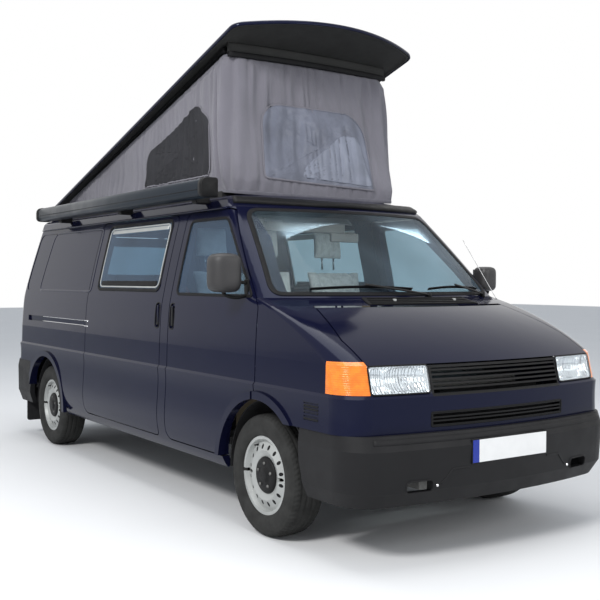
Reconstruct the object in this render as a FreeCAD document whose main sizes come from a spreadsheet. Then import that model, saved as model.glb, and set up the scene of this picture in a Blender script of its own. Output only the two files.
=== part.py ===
"""Camper van with a rear-hinged lifting roof: a long-wheelbase panel van, built as separate panels and parts.

Row frame, millimetres: +X points forwards, +Y to the vehicle's left, +Z up. The origin lies on the ground under
the middle of the overall length. The lifting roof is raised, the doors and the bonnet are shut.
"""

import FreeCAD
import Part
import math
import os
import re
from types import SimpleNamespace

import Sketcher
from FreeCAD import Placement, Rotation, Vector

doc = FreeCAD.newDocument("camper_van")

# ---------------------------------------------------------------- driving dimensions
# name, value, what it is (mm and degrees)
DIMENSIONS = [
    ("wheelbase", 3320, "front axle to rear axle"),
    ("front_overhang", 930, "front axle to the bumper's nose"),
    ("rear_overhang", 857, "rear axle to the rear bumper's end"),
    ("body_width", 1840, "widest part of the lower body"),
    ("front_track", 1589, "between the front wheels' centres"),
    ("rear_track", 1554, "between the rear wheels' centres"),
    ("wall", 45, "thickness of a door or a side wall"),
    ("panel_gap", 8, "shut line between two panels"),
    ("glass_thickness", 5, "pane thickness"),
    ("sill_z", 300, "underside of the sills"),
    ("floor_z", 470, "top of the load floor"),
    ("floor_thickness", 40, "floor pan"),
    ("ledge_z", 818, "pressed ledge round the lower body"),
    ("ledge_step", 13, "how far the lower body stands proud of the upper"),
    ("bonnet_edge_z", 958, "front edge of the bonnet"),
    ("crease_z", 1222, "crease across the rear of the bonnet"),
    ("belt_z", 1262, "foot of the windows"),
    ("gutter_z", 1790, "rain gutter"),
    ("roof_z", 1905, "crown of the fixed roof"),
    ("belt_inset", 36, "how far the belt lies inside the lower body"),
    ("gutter_inset", 172, "how far the gutter lies inside the lower body"),
    ("nose_bow", 4000, "radius of the nose in plan"),
    ("screen_bow", 1750, "radius of the windscreen's foot in plan"),
    ("nose_corner", 170, "corner radius of the nose in plan"),
    ("tail_corner", 130, "corner radius of the tail in plan"),
    ("tail_bow", 9000, "radius of the tail in plan"),
    ("face_reach", 878, "nose panel past the front axle, at the ledge"),
    ("grille_reach", 832, "bonnet's front edge past the front axle"),
    ("cowl_reach", 172, "foot of the windscreen past the front axle"),
    ("header_reach", -425, "head of the windscreen past the front axle"),
    ("tail_reach", 795, "tail panel past the rear axle"),
    ("tail_lean", 130, "how far the tail's top leans forwards"),
    ("tyre_radius", 324, "outside of the tyre"),
    ("tyre_width", 205, "section width of the tyre"),
    ("rim_radius", 208, "outside of the rim's flange"),
    ("rim_width", 160, "across the rim's flanges"),
    ("arch_radius", 405, "wheel arch opening"),
    ("arch_flare", 42, "width of the flared lip of an arch"),
    ("flare_proud", 8, "how far the lip stands out of the side"),
    ("well_depth", 430, "depth of a wheel well from the side"),
    ("door_front", -48, "front door's front edge past the front axle"),
    ("door_length", 1042, "front door at the belt"),
    ("pillar_width", 118, "between the front door and the sliding door"),
    ("quarter_strip", 405, "panel between the sliding door and the rear arch"),
    ("door_foot_z", 372, "lower edge of the side doors"),
    ("door_head_z", 1772, "upper edge of the side doors"),
    ("door_hinge_back", 110, "front door's hinge line behind its front edge"),
    ("handle_height", 158, "recess of a side door's pull handle"),
    ("handle_width", 58, "recess of a side door's pull handle"),
    ("handle_depth", 14, "recess of a side door's pull handle"),
    ("rail_slot", 44, "height of the sliding door's rail slot"),
    ("panel_recess", 4, "depth of the blank panel behind the side window"),
    ("tailgate_foot_z", 690, "lower edge of the tailgate"),
    ("tailgate_width", 1360, "tailgate across"),
    ("bonnet_thickness", 24, "bonnet panel with its frame"),
    ("bonnet_hinge", 232, "bonnet's hinge line past the front axle"),
    ("bumper_top", 634, "top of the front bumper"),
    ("bumper_foot", 292, "foot of the front bumper"),
    ("bumper_proud", 46, "front bumper ahead of the nose panel"),
    ("rear_bumper_top", 662, "top of the rear bumper"),
    ("lamp_foot_z", 818, "foot of the headlamps"),
    ("lamp_top_z", 962, "top of the headlamps"),
    ("grille_half", 452, "half of the grille's width"),
    ("lamp_half", 782, "half of the width over the headlamps"),
    ("roof_angle", 15.3, "how far the lifting roof is raised"),
    ("roof_hinge_inset", 260, "lifting roof's hinge ahead of the tail bumper"),
    ("roof_hinge_z", 1900, "height of the lifting roof's hinge"),
    ("shell_half_width", 690, "half of the lifting roof's width"),
    ("shell_nose", -508, "nose of the closed lifting roof past the front axle"),
    ("shell_skin", 18, "thickness of the lifting roof's skin"),
    ("shell_rise", 112, "height of the lifting roof's shell"),
    ("tent_front", -880, "front wall of the tent past the front axle"),
    ("tent_half_width", 632, "half of the tent's width"),
    ("tent_cloth", 6, "thickness given to the tent's cloth"),
    ("awning_length", 3050, "awning case with its end caps"),
    ("awning_front", -470, "front end of the awning past the front axle"),
    ("awning_height", 142, "awning case"),
    ("awning_depth", 118, "awning case"),
    ("kingpin_inset", 94, "kingpin inside the wheel's centre plane"),
    ("steering_wheel_radius", 200, "outside of the steering wheel"),
    ("running_fit", 0.3, "clearance of a pin in its eye"),
]

sheet = doc.addObject("Spreadsheet::Sheet", "Dimensions")
for row, (alias, value, note) in enumerate(DIMENSIONS, start=1):
    sheet.set(f"A{row}", note)
    sheet.set(f"B{row}", str(value))
    sheet.setAlias(f"B{row}", alias)
doc.recompute()
s = SimpleNamespace(**{alias: float(sheet.get(alias)) for alias, _, _ in DIMENSIONS})

# Derived places used by several pieces
OVERALL = s.front_overhang + s.wheelbase + s.rear_overhang
FRONT_AXLE = OVERALL / 2 - s.front_overhang
REAR_AXLE = FRONT_AXLE - s.wheelbase
HALF = s.body_width / 2
UPPER = HALF - s.ledge_step
DOOR_FRONT = FRONT_AXLE + s.door_front
DOOR_REAR = DOOR_FRONT - s.door_length
SLIDE_FRONT = DOOR_REAR - s.pillar_width
SLIDE_REAR = REAR_AXLE + s.arch_radius + s.arch_flare + s.quarter_strip
TAIL = REAR_AXLE - s.tail_reach
HINGE_X = -OVERALL / 2 + s.roof_hinge_inset
Y_AXIS = Vector(0, 1, 0)
Z_AXIS = Vector(0, 0, 1)
SIDES = {"left": 1, "right": -1}

parts = []


# ---------------------------------------------------------------- helpers
def cells(text):
    """Turns $name in an expression into a reference to the sheet's cell."""
    return re.sub(r"\$([a-z_]+)", r"Dimensions.\1", text)


X_FRONT_AXLE = "(($front_overhang + $wheelbase + $rear_overhang) / 2 - $front_overhang)"
X_REAR_AXLE = f"({X_FRONT_AXLE} - $wheelbase)"


def bind(obj, **sizes):
    """Binds properties of an object to the sheet; a double underscore stands for a dot."""
    for name, text in sizes.items():
        obj.setExpression(name.replace("__", "."), cells(str(text)))
    return obj


def place(obj, x="0", y="0", z="0", turn=None):
    """Places an object with expressions; turn is an (axis, degrees) pair."""
    if turn:
        obj.Placement = Placement(Vector(), Rotation(Vector(*turn[0]), turn[1]))
    return bind(obj, Placement__Base__x=x, Placement__Base__y=y, Placement__Base__z=z)


def box(name, length, width, height, x, y, z):
    """A box whose low corner lies at x, y, z."""
    return place(bind(doc.addObject("Part::Box", name), Length=length, Width=width, Height=height), x, y, z)


def rod(name, radius, height, x, y, z, along="z"):
    """A cylinder that starts at x, y, z and runs along an axis."""
    turn = {"z": None, "y": ((1, 0, 0), -90), "x": ((0, 1, 0), 90)}[along]
    return place(bind(doc.addObject("Part::Cylinder", name), Radius=radius, Height=height), x, y, z, turn)


def fuse(name, *shapes):
    """The union of several objects."""
    obj = doc.addObject("Part::MultiFuse", name)
    obj.Shapes = list(shapes)
    obj.Refine = True
    return obj


def cut(name, base, tool):
    """One object cut out of another."""
    obj = doc.addObject("Part::Cut", name)
    obj.Base, obj.Tool = base, tool
    return obj


def part(obj, label):
    """Marks an object as a sub-part whose label names its file."""
    obj.Label = label
    parts.append(obj)
    return obj


def feature(label, shape):
    """A sub-part whose shape is made directly."""
    obj = doc.addObject("Part::Feature", label)
    obj.Shape = shape
    return part(obj, label)


def solids(shape):
    """A compound of a shape's solids, with splinters under a cubic centimetre left out."""
    return Part.Compound([x for x in shape.Solids if x.Volume > 1000])


def loop(points, lift):
    """A closed wire through (a, b, radius) corners; a missing radius is 0 and lift makes a point of (a, b)."""
    corners = []
    for i, point in enumerate(points):
        p, before, after = (Vector(q[0], q[1], 0) for q in (point, points[i - 1], points[(i + 1) % len(points)]))
        u, v = (before - p).normalize(), (after - p).normalize()
        radius = point[2] if len(point) > 2 else 0
        if radius:
            half = u.getAngle(v) / 2
            reach = radius / math.tan(half)
            middle = p + (u + v).normalize() * (radius / math.sin(half) - radius)
            corners.append((p + u * reach, middle, p + v * reach))
        else:
            corners.append((p, None, p))
    edges = []
    for i, (first, middle, last) in enumerate(corners):
        if middle:
            edges.append(Part.Arc(lift(first), lift(middle), lift(last)).toShape())
        edges.append(Part.makeLine(lift(last), lift(corners[(i + 1) % len(corners)][0])))
    return Part.Wire(edges)


def prism(wire, vector, grow=0.0):
    """A closed wire, optionally grown by an offset, carried along a vector."""
    if grow:
        wire = wire.makeOffset2D(grow, 0, False, False)
    return Part.Face(wire).extrude(vector)


def prism_y(points, low, high, grow=0.0):
    """An outline of (x, z[, radius]) corners carried across the vehicle from y low to y high."""
    return prism(loop(points, lambda p: Vector(p.x, low, p.y)), Vector(0, high - low, 0), grow)


def prism_z(points, low, high, grow=0.0):
    """An outline of (x, y[, radius]) corners carried up from z low to z high."""
    return prism(loop(points, lambda p: Vector(p.x, p.y, low)), Vector(0, 0, high - low), grow)


def prism_x(points, low, high, grow=0.0):
    """An outline of (y, z[, radius]) corners carried forwards from x low to x high."""
    return prism(loop(points, lambda p: Vector(low, p.x, p.y)), Vector(high - low, 0, 0), grow)


def mirrored(shape):
    """The same shape on the vehicle's other side."""
    return shape.mirror(Vector(), Vector(0, 1, 0))


def both(left):
    """A left piece and its mirror image as one compound of solids."""
    return solids(Part.Compound([*left.Solids, *mirrored(left).Solids]))


def pair(stem, left):
    """Two sub-parts that mirror each other."""
    feature(f"{stem}_left", left)
    feature(f"{stem}_right", mirrored(left))


def slab(x0, x1, y0, y1, z0, z1):
    """A box between two corners."""
    return Part.makeBox(x1 - x0, y1 - y0, z1 - z0, Vector(x0, y0, z0))


def rounded(shape, radius, direction):
    """Rounds the straight edges of a prism that run along a direction."""
    edges = [e for e in shape.Edges if len(e.Vertexes) == 2
             and e.Curve.TypeId == "Part::GeomLine" and abs(abs(e.Curve.Direction.dot(direction)) - 1) < 1e-6]
    return shape.makeFillet(radius, edges)


def tube_y(x, z, outer, inner, y0, y1):
    """A ring about a line across the vehicle."""
    whole = Part.makeCylinder(outer, y1 - y0, Vector(x, y0, z), Y_AXIS)
    return whole.cut(Part.makeCylinder(inner, y1 - y0, Vector(x, y0, z), Y_AXIS)) if inner else whole


# ---------------------------------------------------------------- outer form
def levels():
    """The body's form as plan outlines one above the other, in zones that meet at creases.

    Columns: height, nose past the front axle, half width, nose corner radius, tail past the rear axle, nose bow.
    """
    tail, corner, bow = s.tail_reach, s.nose_corner, s.nose_bow
    low = [
        (s.sill_z, s.face_reach - 62, HALF - 58, corner, tail - 20, bow),
        (s.door_foot_z, s.face_reach - 32, HALF - 18, corner, tail - 5, bow),
        (0.5 * (s.door_foot_z + s.ledge_z), s.face_reach - 4, HALF, corner, tail, bow),
        (s.ledge_z - 14, s.face_reach, HALF - 2, corner, tail, bow),
    ]
    ledge = [low[-1], (s.ledge_z, s.face_reach - s.ledge_step, UPPER, corner, tail - 8, bow)]
    face = [ledge[-1], (s.bonnet_edge_z, s.grille_reach, UPPER - 3, corner, tail - 12, bow)]
    rise = s.crease_z - s.bonnet_edge_z
    run = s.grille_reach - s.cowl_reach - 120
    bonnet = [face[-1]] + [
        (s.bonnet_edge_z + up * rise, s.grille_reach - back * run, UPPER - inset, corner - less, tail - 12 - 10 * up,
         bow + pull * (s.screen_bow - bow))
        for up, back, inset, less, pull in ((0.30, 0.22, 7, 10, 0.3), (0.68, 0.58, 13, 30, 0.65), (1, 1, 23, 60, 0.85))
    ]
    cowl = [bonnet[-1], (s.belt_z, s.cowl_reach, HALF - s.belt_inset - 8, corner - 85, tail - 26, s.screen_bow)]
    tall = s.gutter_z - s.belt_z
    slope = s.header_reach - s.cowl_reach
    lean = s.gutter_inset - s.belt_inset - 8
    glass = [cowl[-1]] + [
        (s.belt_z + f * tall, s.cowl_reach + f * slope + bulge, HALF - s.belt_inset - 8 - f * lean + 0.5 * bulge,
         corner - 85 - 20 * f, tail - 26 - f * (s.tail_lean - 26), s.screen_bow + 100 * f)
        for f, bulge in ((0.35, 9), (0.7, 8), (1.0, 0))
    ]
    return [low, ledge, face, bonnet, cowl, glass]


def outline(z, nose, half, corner, tail, bow):
    """One plan outline: bowed nose and tail, tangent corners and straight sides, as eight edges."""
    def end(centre, radius, corner_radius, sign):
        reach = math.sqrt((radius - corner_radius) ** 2 - (half - corner_radius) ** 2)
        cx, cy = centre + sign * reach, half - corner_radius
        angle = math.atan2(cy, sign * reach)
        on_bow = (centre + radius * math.cos(angle), radius * math.sin(angle))
        middle = 0.5 * (angle + math.pi / 2)
        on_corner = (cx + corner_radius * math.cos(middle), cy + corner_radius * math.sin(middle))
        return on_bow, on_corner, (cx, half)

    nose_x = FRONT_AXLE + nose
    tail_x = REAR_AXLE - tail
    bow_f, mid_f, side_f = end(nose_x - bow, bow, corner, 1)
    bow_r, mid_r, side_r = end(tail_x + s.tail_bow, s.tail_bow, s.tail_corner, -1)

    def at(p, sign=1):
        return Vector(p[0], sign * p[1], z)

    edges = [
        Part.Arc(at(bow_f, -1), Vector(nose_x, 0, z), at(bow_f)).toShape(),
        Part.Arc(at(bow_f), at(mid_f), at(side_f)).toShape(),
        Part.makeLine(at(side_f), at(side_r)),
        Part.Arc(at(side_r), at(mid_r), at(bow_r)).toShape(),
        Part.Arc(at(bow_r), Vector(tail_x, 0, z), at(bow_r, -1)).toShape(),
        Part.Arc(at(bow_r, -1), at(mid_r, -1), at(side_r, -1)).toShape(),
        Part.makeLine(at(side_r, -1), at(side_f, -1)),
        Part.Arc(at(side_f, -1), at(mid_f, -1), at(bow_f, -1)).toShape(),
    ]
    return Part.Wire(edges)


def inward(rows, inset):
    """The same levels moved inwards along the profile's normal by inset."""
    moved = []
    for i, (z, nose, half, corner, tail, bow) in enumerate(rows):
        a, b = rows[max(i - 1, 0)], rows[min(i + 1, len(rows) - 1)]
        dz, dn = b[0] - a[0], b[1] - a[1]
        length = math.hypot(dz, dn)
        moved.append((z + inset * dn / length, nose - inset * dz / length, half - inset,
                      max(corner - inset, 25), tail - inset, bow - inset))
    return moved


def form(inset=0.0):
    """The body below the gutter as one solid, optionally smaller all round by inset."""
    zones = levels()
    flat = [zones[0][0]] + [row for zone in zones for row in zone[1:]]
    if inset:
        flat = inward(flat, inset)
        flat[0] = (s.sill_z - 5, *flat[0][1:])
        flat[-1] = (s.gutter_z + 5, *flat[-1][1:])
    solid, start = None, 0
    for zone in zones:
        rows = flat[start:start + len(zone)]
        start += len(zone) - 1
        piece = Part.makeLoft([outline(*row) for row in rows], True, len(rows) != 4 or bool(inset))
        solid = piece if solid is None else solid.fuse(piece)
    return solid


# ---------------------------------------------------------------- outlines
GAP = s.panel_gap
FAR = 1200
WELL_FRONT = FRONT_AXLE - s.arch_radius - s.arch_flare
WELL_REAR = REAR_AXLE + s.arch_radius + s.arch_flare
PILLAR_FOOT = (DOOR_FRONT, s.belt_z - 47)
PILLAR_HEAD = (FRONT_AXLE + s.header_reach - 135, s.door_head_z)

door_outline = [
    (DOOR_FRONT, s.door_foot_z, 10), (*PILLAR_FOOT, 60), (*PILLAR_HEAD, 45),
    (DOOR_REAR, s.door_head_z, 40), (DOOR_REAR, s.door_foot_z, 60),
]
door_window = [
    (DOOR_FRONT - 74, s.belt_z + 8, 30), (PILLAR_HEAD[0] - 14, s.door_head_z - 50, 40),
    (DOOR_REAR + 68, s.door_head_z - 50, 40), (DOOR_REAR + 68, s.belt_z + 8, 40),
]
slide_outline = [
    (SLIDE_FRONT, s.door_foot_z, 40), (SLIDE_FRONT, s.door_head_z, 60),
    (SLIDE_REAR, s.door_head_z, 60), (SLIDE_REAR, s.door_foot_z, 60),
]
side_window = [
    (SLIDE_FRONT - 75, s.belt_z + 26, 55), (SLIDE_FRONT - 75, s.door_head_z - 30, 55),
    (SLIDE_REAR + 160, s.door_head_z - 30, 55), (SLIDE_REAR + 160, s.belt_z + 26, 55),
]
blank_panel = [
    (SLIDE_REAR - 36, s.belt_z + 6, 50), (SLIDE_REAR - 36, s.door_head_z - 30, 60),
    (TAIL + 275, s.door_head_z - 30, 80), (TAIL + 180, s.belt_z + 6, 60),
]
screen_outline = [
    (-UPPER + 108, s.belt_z + 20, 60), (-UPPER + 236, s.gutter_z - 18, 70),
    (UPPER - 236, s.gutter_z - 18, 70), (UPPER - 108, s.belt_z + 20, 60),
]
tailgate_outline = [
    (-s.tailgate_width / 2, s.tailgate_foot_z, 60), (-s.tailgate_width / 2 + 40, s.gutter_z - 40, 80),
    (s.tailgate_width / 2 - 40, s.gutter_z - 40, 80), (s.tailgate_width / 2, s.tailgate_foot_z, 60),
]
tail_window = [
    (-s.tailgate_width / 2 + 70, s.belt_z + 10, 70), (-s.tailgate_width / 2 + 110, s.gutter_z - 110, 70),
    (s.tailgate_width / 2 - 110, s.gutter_z - 110, 70), (s.tailgate_width / 2 - 70, s.belt_z + 10, 70),
]
bonnet_plan = [
    (FRONT_AXLE - 60, -s.lamp_half + 170), (FRONT_AXLE + 560, -s.lamp_half), (FRONT_AXLE + 1000, -s.lamp_half),
    (FRONT_AXLE + 1000, s.lamp_half), (FRONT_AXLE + 560, s.lamp_half), (FRONT_AXLE - 60, s.lamp_half - 170),
]


# ---------------------------------------------------------------- body shell
OUTER = form()
SHELL = OUTER.cut(form(s.wall))
LEFT = SHELL.common(slab(-3000, 3000, 0, FAR, 0, 2000))
GLASS = form(2).cut(form(2 + s.glass_thickness))
INSIDE = form(s.wall + 6)
UNDER_SKIN = form(s.panel_recess)


def well(x):
    """The round wheel opening on both sides, down to the ground."""
    hole = tube_y(x, s.tyre_radius, s.arch_radius, 0, -FAR, FAR)
    return hole.fuse(slab(x - s.arch_radius, x + s.arch_radius, -FAR, FAR, -10, s.tyre_radius))


def flare(x):
    """The raised lip round a wheel opening on the left side."""
    ring = tube_y(x, s.tyre_radius, s.arch_radius + s.arch_flare, s.arch_radius, HALF - 22, HALF + s.flare_proud)
    ring = ring.common(slab(x - 700, x + 700, 0, FAR, s.tyre_radius - 5, 1200))
    return ring


WELLS = well(FRONT_AXLE).fuse(well(REAR_AXLE))
FRONT_FLARE = flare(FRONT_AXLE)
REAR_FLARE = flare(REAR_AXLE)


def door_tool(grow=0.0):
    """The left front door's region: its side outline, kept outboard of the screen pillar."""
    y0, y1 = HALF - s.belt_inset - 66 - grow, HALF - s.gutter_inset - 46 - grow
    band = prism_x([(600, 0), (FAR, 0), (FAR, 2000), (y1 - 40, 2000), (y1, s.gutter_z), (y0, s.belt_z - 20),
                    (600, s.belt_z - 60)], DOOR_REAR - 100, DOOR_FRONT + 100)
    return prism_y(door_outline, 0, FAR, grow).common(band)


DOOR_SPACE = door_tool(GAP)
screen_tool = prism_x(screen_outline, FRONT_AXLE - 760, FRONT_AXLE + 400).common(prism_y([
    (FRONT_AXLE - 40, s.belt_z), (FRONT_AXLE + 400, s.belt_z), (FRONT_AXLE + 400, s.gutter_z),
    (FRONT_AXLE + s.header_reach - 135, s.gutter_z)], -FAR, FAR))
rear_zone = slab(-3000, REAR_AXLE - 380, -FAR, FAR, 0, s.rear_bumper_top)
HINGE_LINE_X = DOOR_FRONT - s.door_hinge_back
HINGE_FOOT = Vector(HINGE_LINE_X, UPPER - 16, s.ledge_z)
HINGE_HEAD = Vector(HINGE_LINE_X, HALF - s.belt_inset - 16, s.crease_z)
HINGE_AXIS = (HINGE_HEAD - HINGE_FOOT).normalize()
HINGE_ROWS = (872, 1130)


def hinge_point(z):
    """The point of the left door's leaning hinge line at a height."""
    return HINGE_FOOT + HINGE_AXIS * ((z - s.ledge_z) / HINGE_AXIS.z)


def handle(door, x):
    """A left door with an upright pull handle in an oval recess whose middle lies at x."""
    z = 0.5 * (s.ledge_z + s.door_head_z) - 160
    face = HALF - s.belt_inset + 9
    a, b = s.handle_width / 2, s.handle_height / 2
    oval = [(x - a, z - b, a - 1), (x - a, z + b, a - 1), (x + a, z + b, a - 1), (x + a, z - b, a - 1)]
    recess = prism_y(oval, face - s.handle_depth, FAR)
    bar = slab(x - 9, x + 9, face - 7, face + 1, z - b + 18, z + b - 18)
    feet = [slab(x - 9, x + 9, face - s.handle_depth - 2, face - 6, at, at + 14)
            for at in (z - b + 18, z + b - 32)]
    return door.cut(recess).fuse(rounded(bar.fuse(feet[0]).fuse(feet[1]), 4, Vector(1, 0, 0)))


def front_doors():
    """Front doors: whole thickness, with the window cut and the rear half of the wheel arch's lip."""
    lip = FRONT_FLARE.common(slab(-3000, DOOR_FRONT - 10, 0, FAR, s.door_foot_z, 2000))
    door = LEFT.common(door_tool()).cut(WELLS).cut(
        tube_y(FRONT_AXLE, s.tyre_radius, s.arch_radius + 4, 0, 0, UPPER - 22)).fuse(lip)
    door = door.cut(prism_y(door_window, 0, FAR))
    door = handle(door, DOOR_REAR + s.handle_width / 2 + 13)
    for z in HINGE_ROWS:
        middle = hinge_point(z)
        pocket = slab(HINGE_LINE_X - 24, DOOR_FRONT + 20, 700, middle.y + 30, z - 30, z + 30).common(UNDER_SKIN)
        pin = Part.makeCylinder(5, 66, middle - HINGE_AXIS * 33, HINGE_AXIS)
        door = door.cut(pocket).fuse(pin)
    pair("front_door", solids(door))
    pair("front_door_glass", solids(GLASS.common(prism_y(door_window, 0, FAR))))


def liner_space():
    """Where the wheel liners run, on both sides."""
    drums = [tube_y(x, s.tyre_radius, s.arch_radius + 9, 0, y0, y1) for x in (FRONT_AXLE, REAR_AXLE)
             for y0, y1 in ((440, UPPER - s.wall - 13), (-UPPER + s.wall + 13, -440))]
    return drums[0].multiFuse(drums[1:])


def side_walls():
    """Body sides from the front door's frame to the tail, with the sill, pillars and roof rail."""
    front = prism_y([(DOOR_FRONT, s.bumper_top), (DOOR_FRONT, 1190), (DOOR_FRONT + 300, 1190),
                     (DOOR_FRONT + 300, 2000), (PILLAR_HEAD[0] - 15, 2000), (PILLAR_HEAD[0], s.door_head_z + 4),
                     (DOOR_FRONT, PILLAR_FOOT[1] + 6), (DOOR_FRONT - 30, 900), (DOOR_FRONT - 30, s.bumper_top)], 0, FAR)
    wall = LEFT.common(slab(-3000, DOOR_FRONT, 0, FAR, 0, 2000)).cut(front)
    wall = wall.cut(DOOR_SPACE).cut(rear_zone)
    wall = wall.cut(prism_x(tailgate_outline, -3000, TAIL + 400, GAP))
    wall = wall.cut(lamp_tool()).cut(WELLS).cut(liner_space()).fuse(REAR_FLARE.cut(rear_zone))
    window = prism_y(side_window, 0, FAR)
    wall = wall.cut(prism_y(blank_panel, 0, FAR).cut(UNDER_SKIN))
    feature("side_wall_left", solids(wall.cut(window)))
    rail_z = s.ledge_z + 214
    rail = slab(TAIL + 320, SLIDE_REAR, -FAR, -UPPER + 21, rail_z - s.rail_slot / 2, rail_z + s.rail_slot / 2)
    right = mirrored(wall).cut(prism_y(slide_outline, -FAR, 0, GAP)).cut(rail)
    feature("side_wall_right", solids(right))
    door = mirrored(handle(LEFT.common(prism_y(slide_outline, 0, FAR)), SLIDE_FRONT - 45)).cut(mirrored(window))
    guides = [slab(x, x + 90, -FAR, 0, s.floor_z - 30, s.floor_z - 6) for x in (SLIDE_REAR + 70, SLIDE_FRONT - 160)]
    runners = [guide.common(form(s.wall - 2)).cut(INSIDE).common(slab(-3000, 3000, -FAR, -600, 0, 1000))
               for guide in guides]
    door = door.multiFuse(runners)
    feature("sliding_door", solids(door))
    feature("side_windows", both(GLASS.common(window)))


def lamp_tool():
    """The tail lamp's pocket in the left rear corner."""
    return slab(-3000, TAIL + 120, s.tailgate_width / 2 + 14, FAR, s.belt_z - 330, s.belt_z + 40)


def tail_hinges():
    """Eyes on the tailgate's upper edge and the lugs with pins that carry them."""
    line = Vector(TAIL + s.tail_lean - 9, 0, s.gutter_z - 33)
    eyes, lugs = [], []
    for y in (-450, 450):
        leaf = slab(line.x - 2, line.x + 26, y - 18, y + 18, line.z - 30, line.z)
        eye = tube_y(line.x, line.z, 9, 0, y - 18, y + 18).fuse(leaf)
        eyes.append(eye.cut(tube_y(line.x, line.z, 4.7 + s.running_fit, 0, y - 30, y + 30)))
        pin = tube_y(line.x, line.z, 4.7, 0, y - 30, y + 30)
        ears = [slab(line.x - 7, line.x + 40, a, a + 9, line.z - 5, line.z + 24).cut(OUTER) for a in (y - 28, y + 19)]
        lugs.append(pin.multiFuse(ears))
    return eyes, lugs


def tail():
    """Tailgate, its window and the lamps at the corners."""
    rear = SHELL.common(slab(-3000, TAIL + 400, -FAR, FAR, 0, 2000))
    gate = rear.common(prism_x(tailgate_outline, -3000, TAIL + 400))
    window = prism_x(tail_window, -3000, TAIL + 400)
    recess = slab(-3000, TAIL + 24, -264, 264, 786, 904)
    gate = gate.cut(window).cut(recess)
    eyes, lugs = tail_hinges()
    feature("tailgate", solids(gate.multiFuse(eyes)))
    feature("tailgate_glass", solids(GLASS.common(window)))
    feature("tail_lamps", both(LEFT.common(lamp_tool())))
    return lugs


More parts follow.
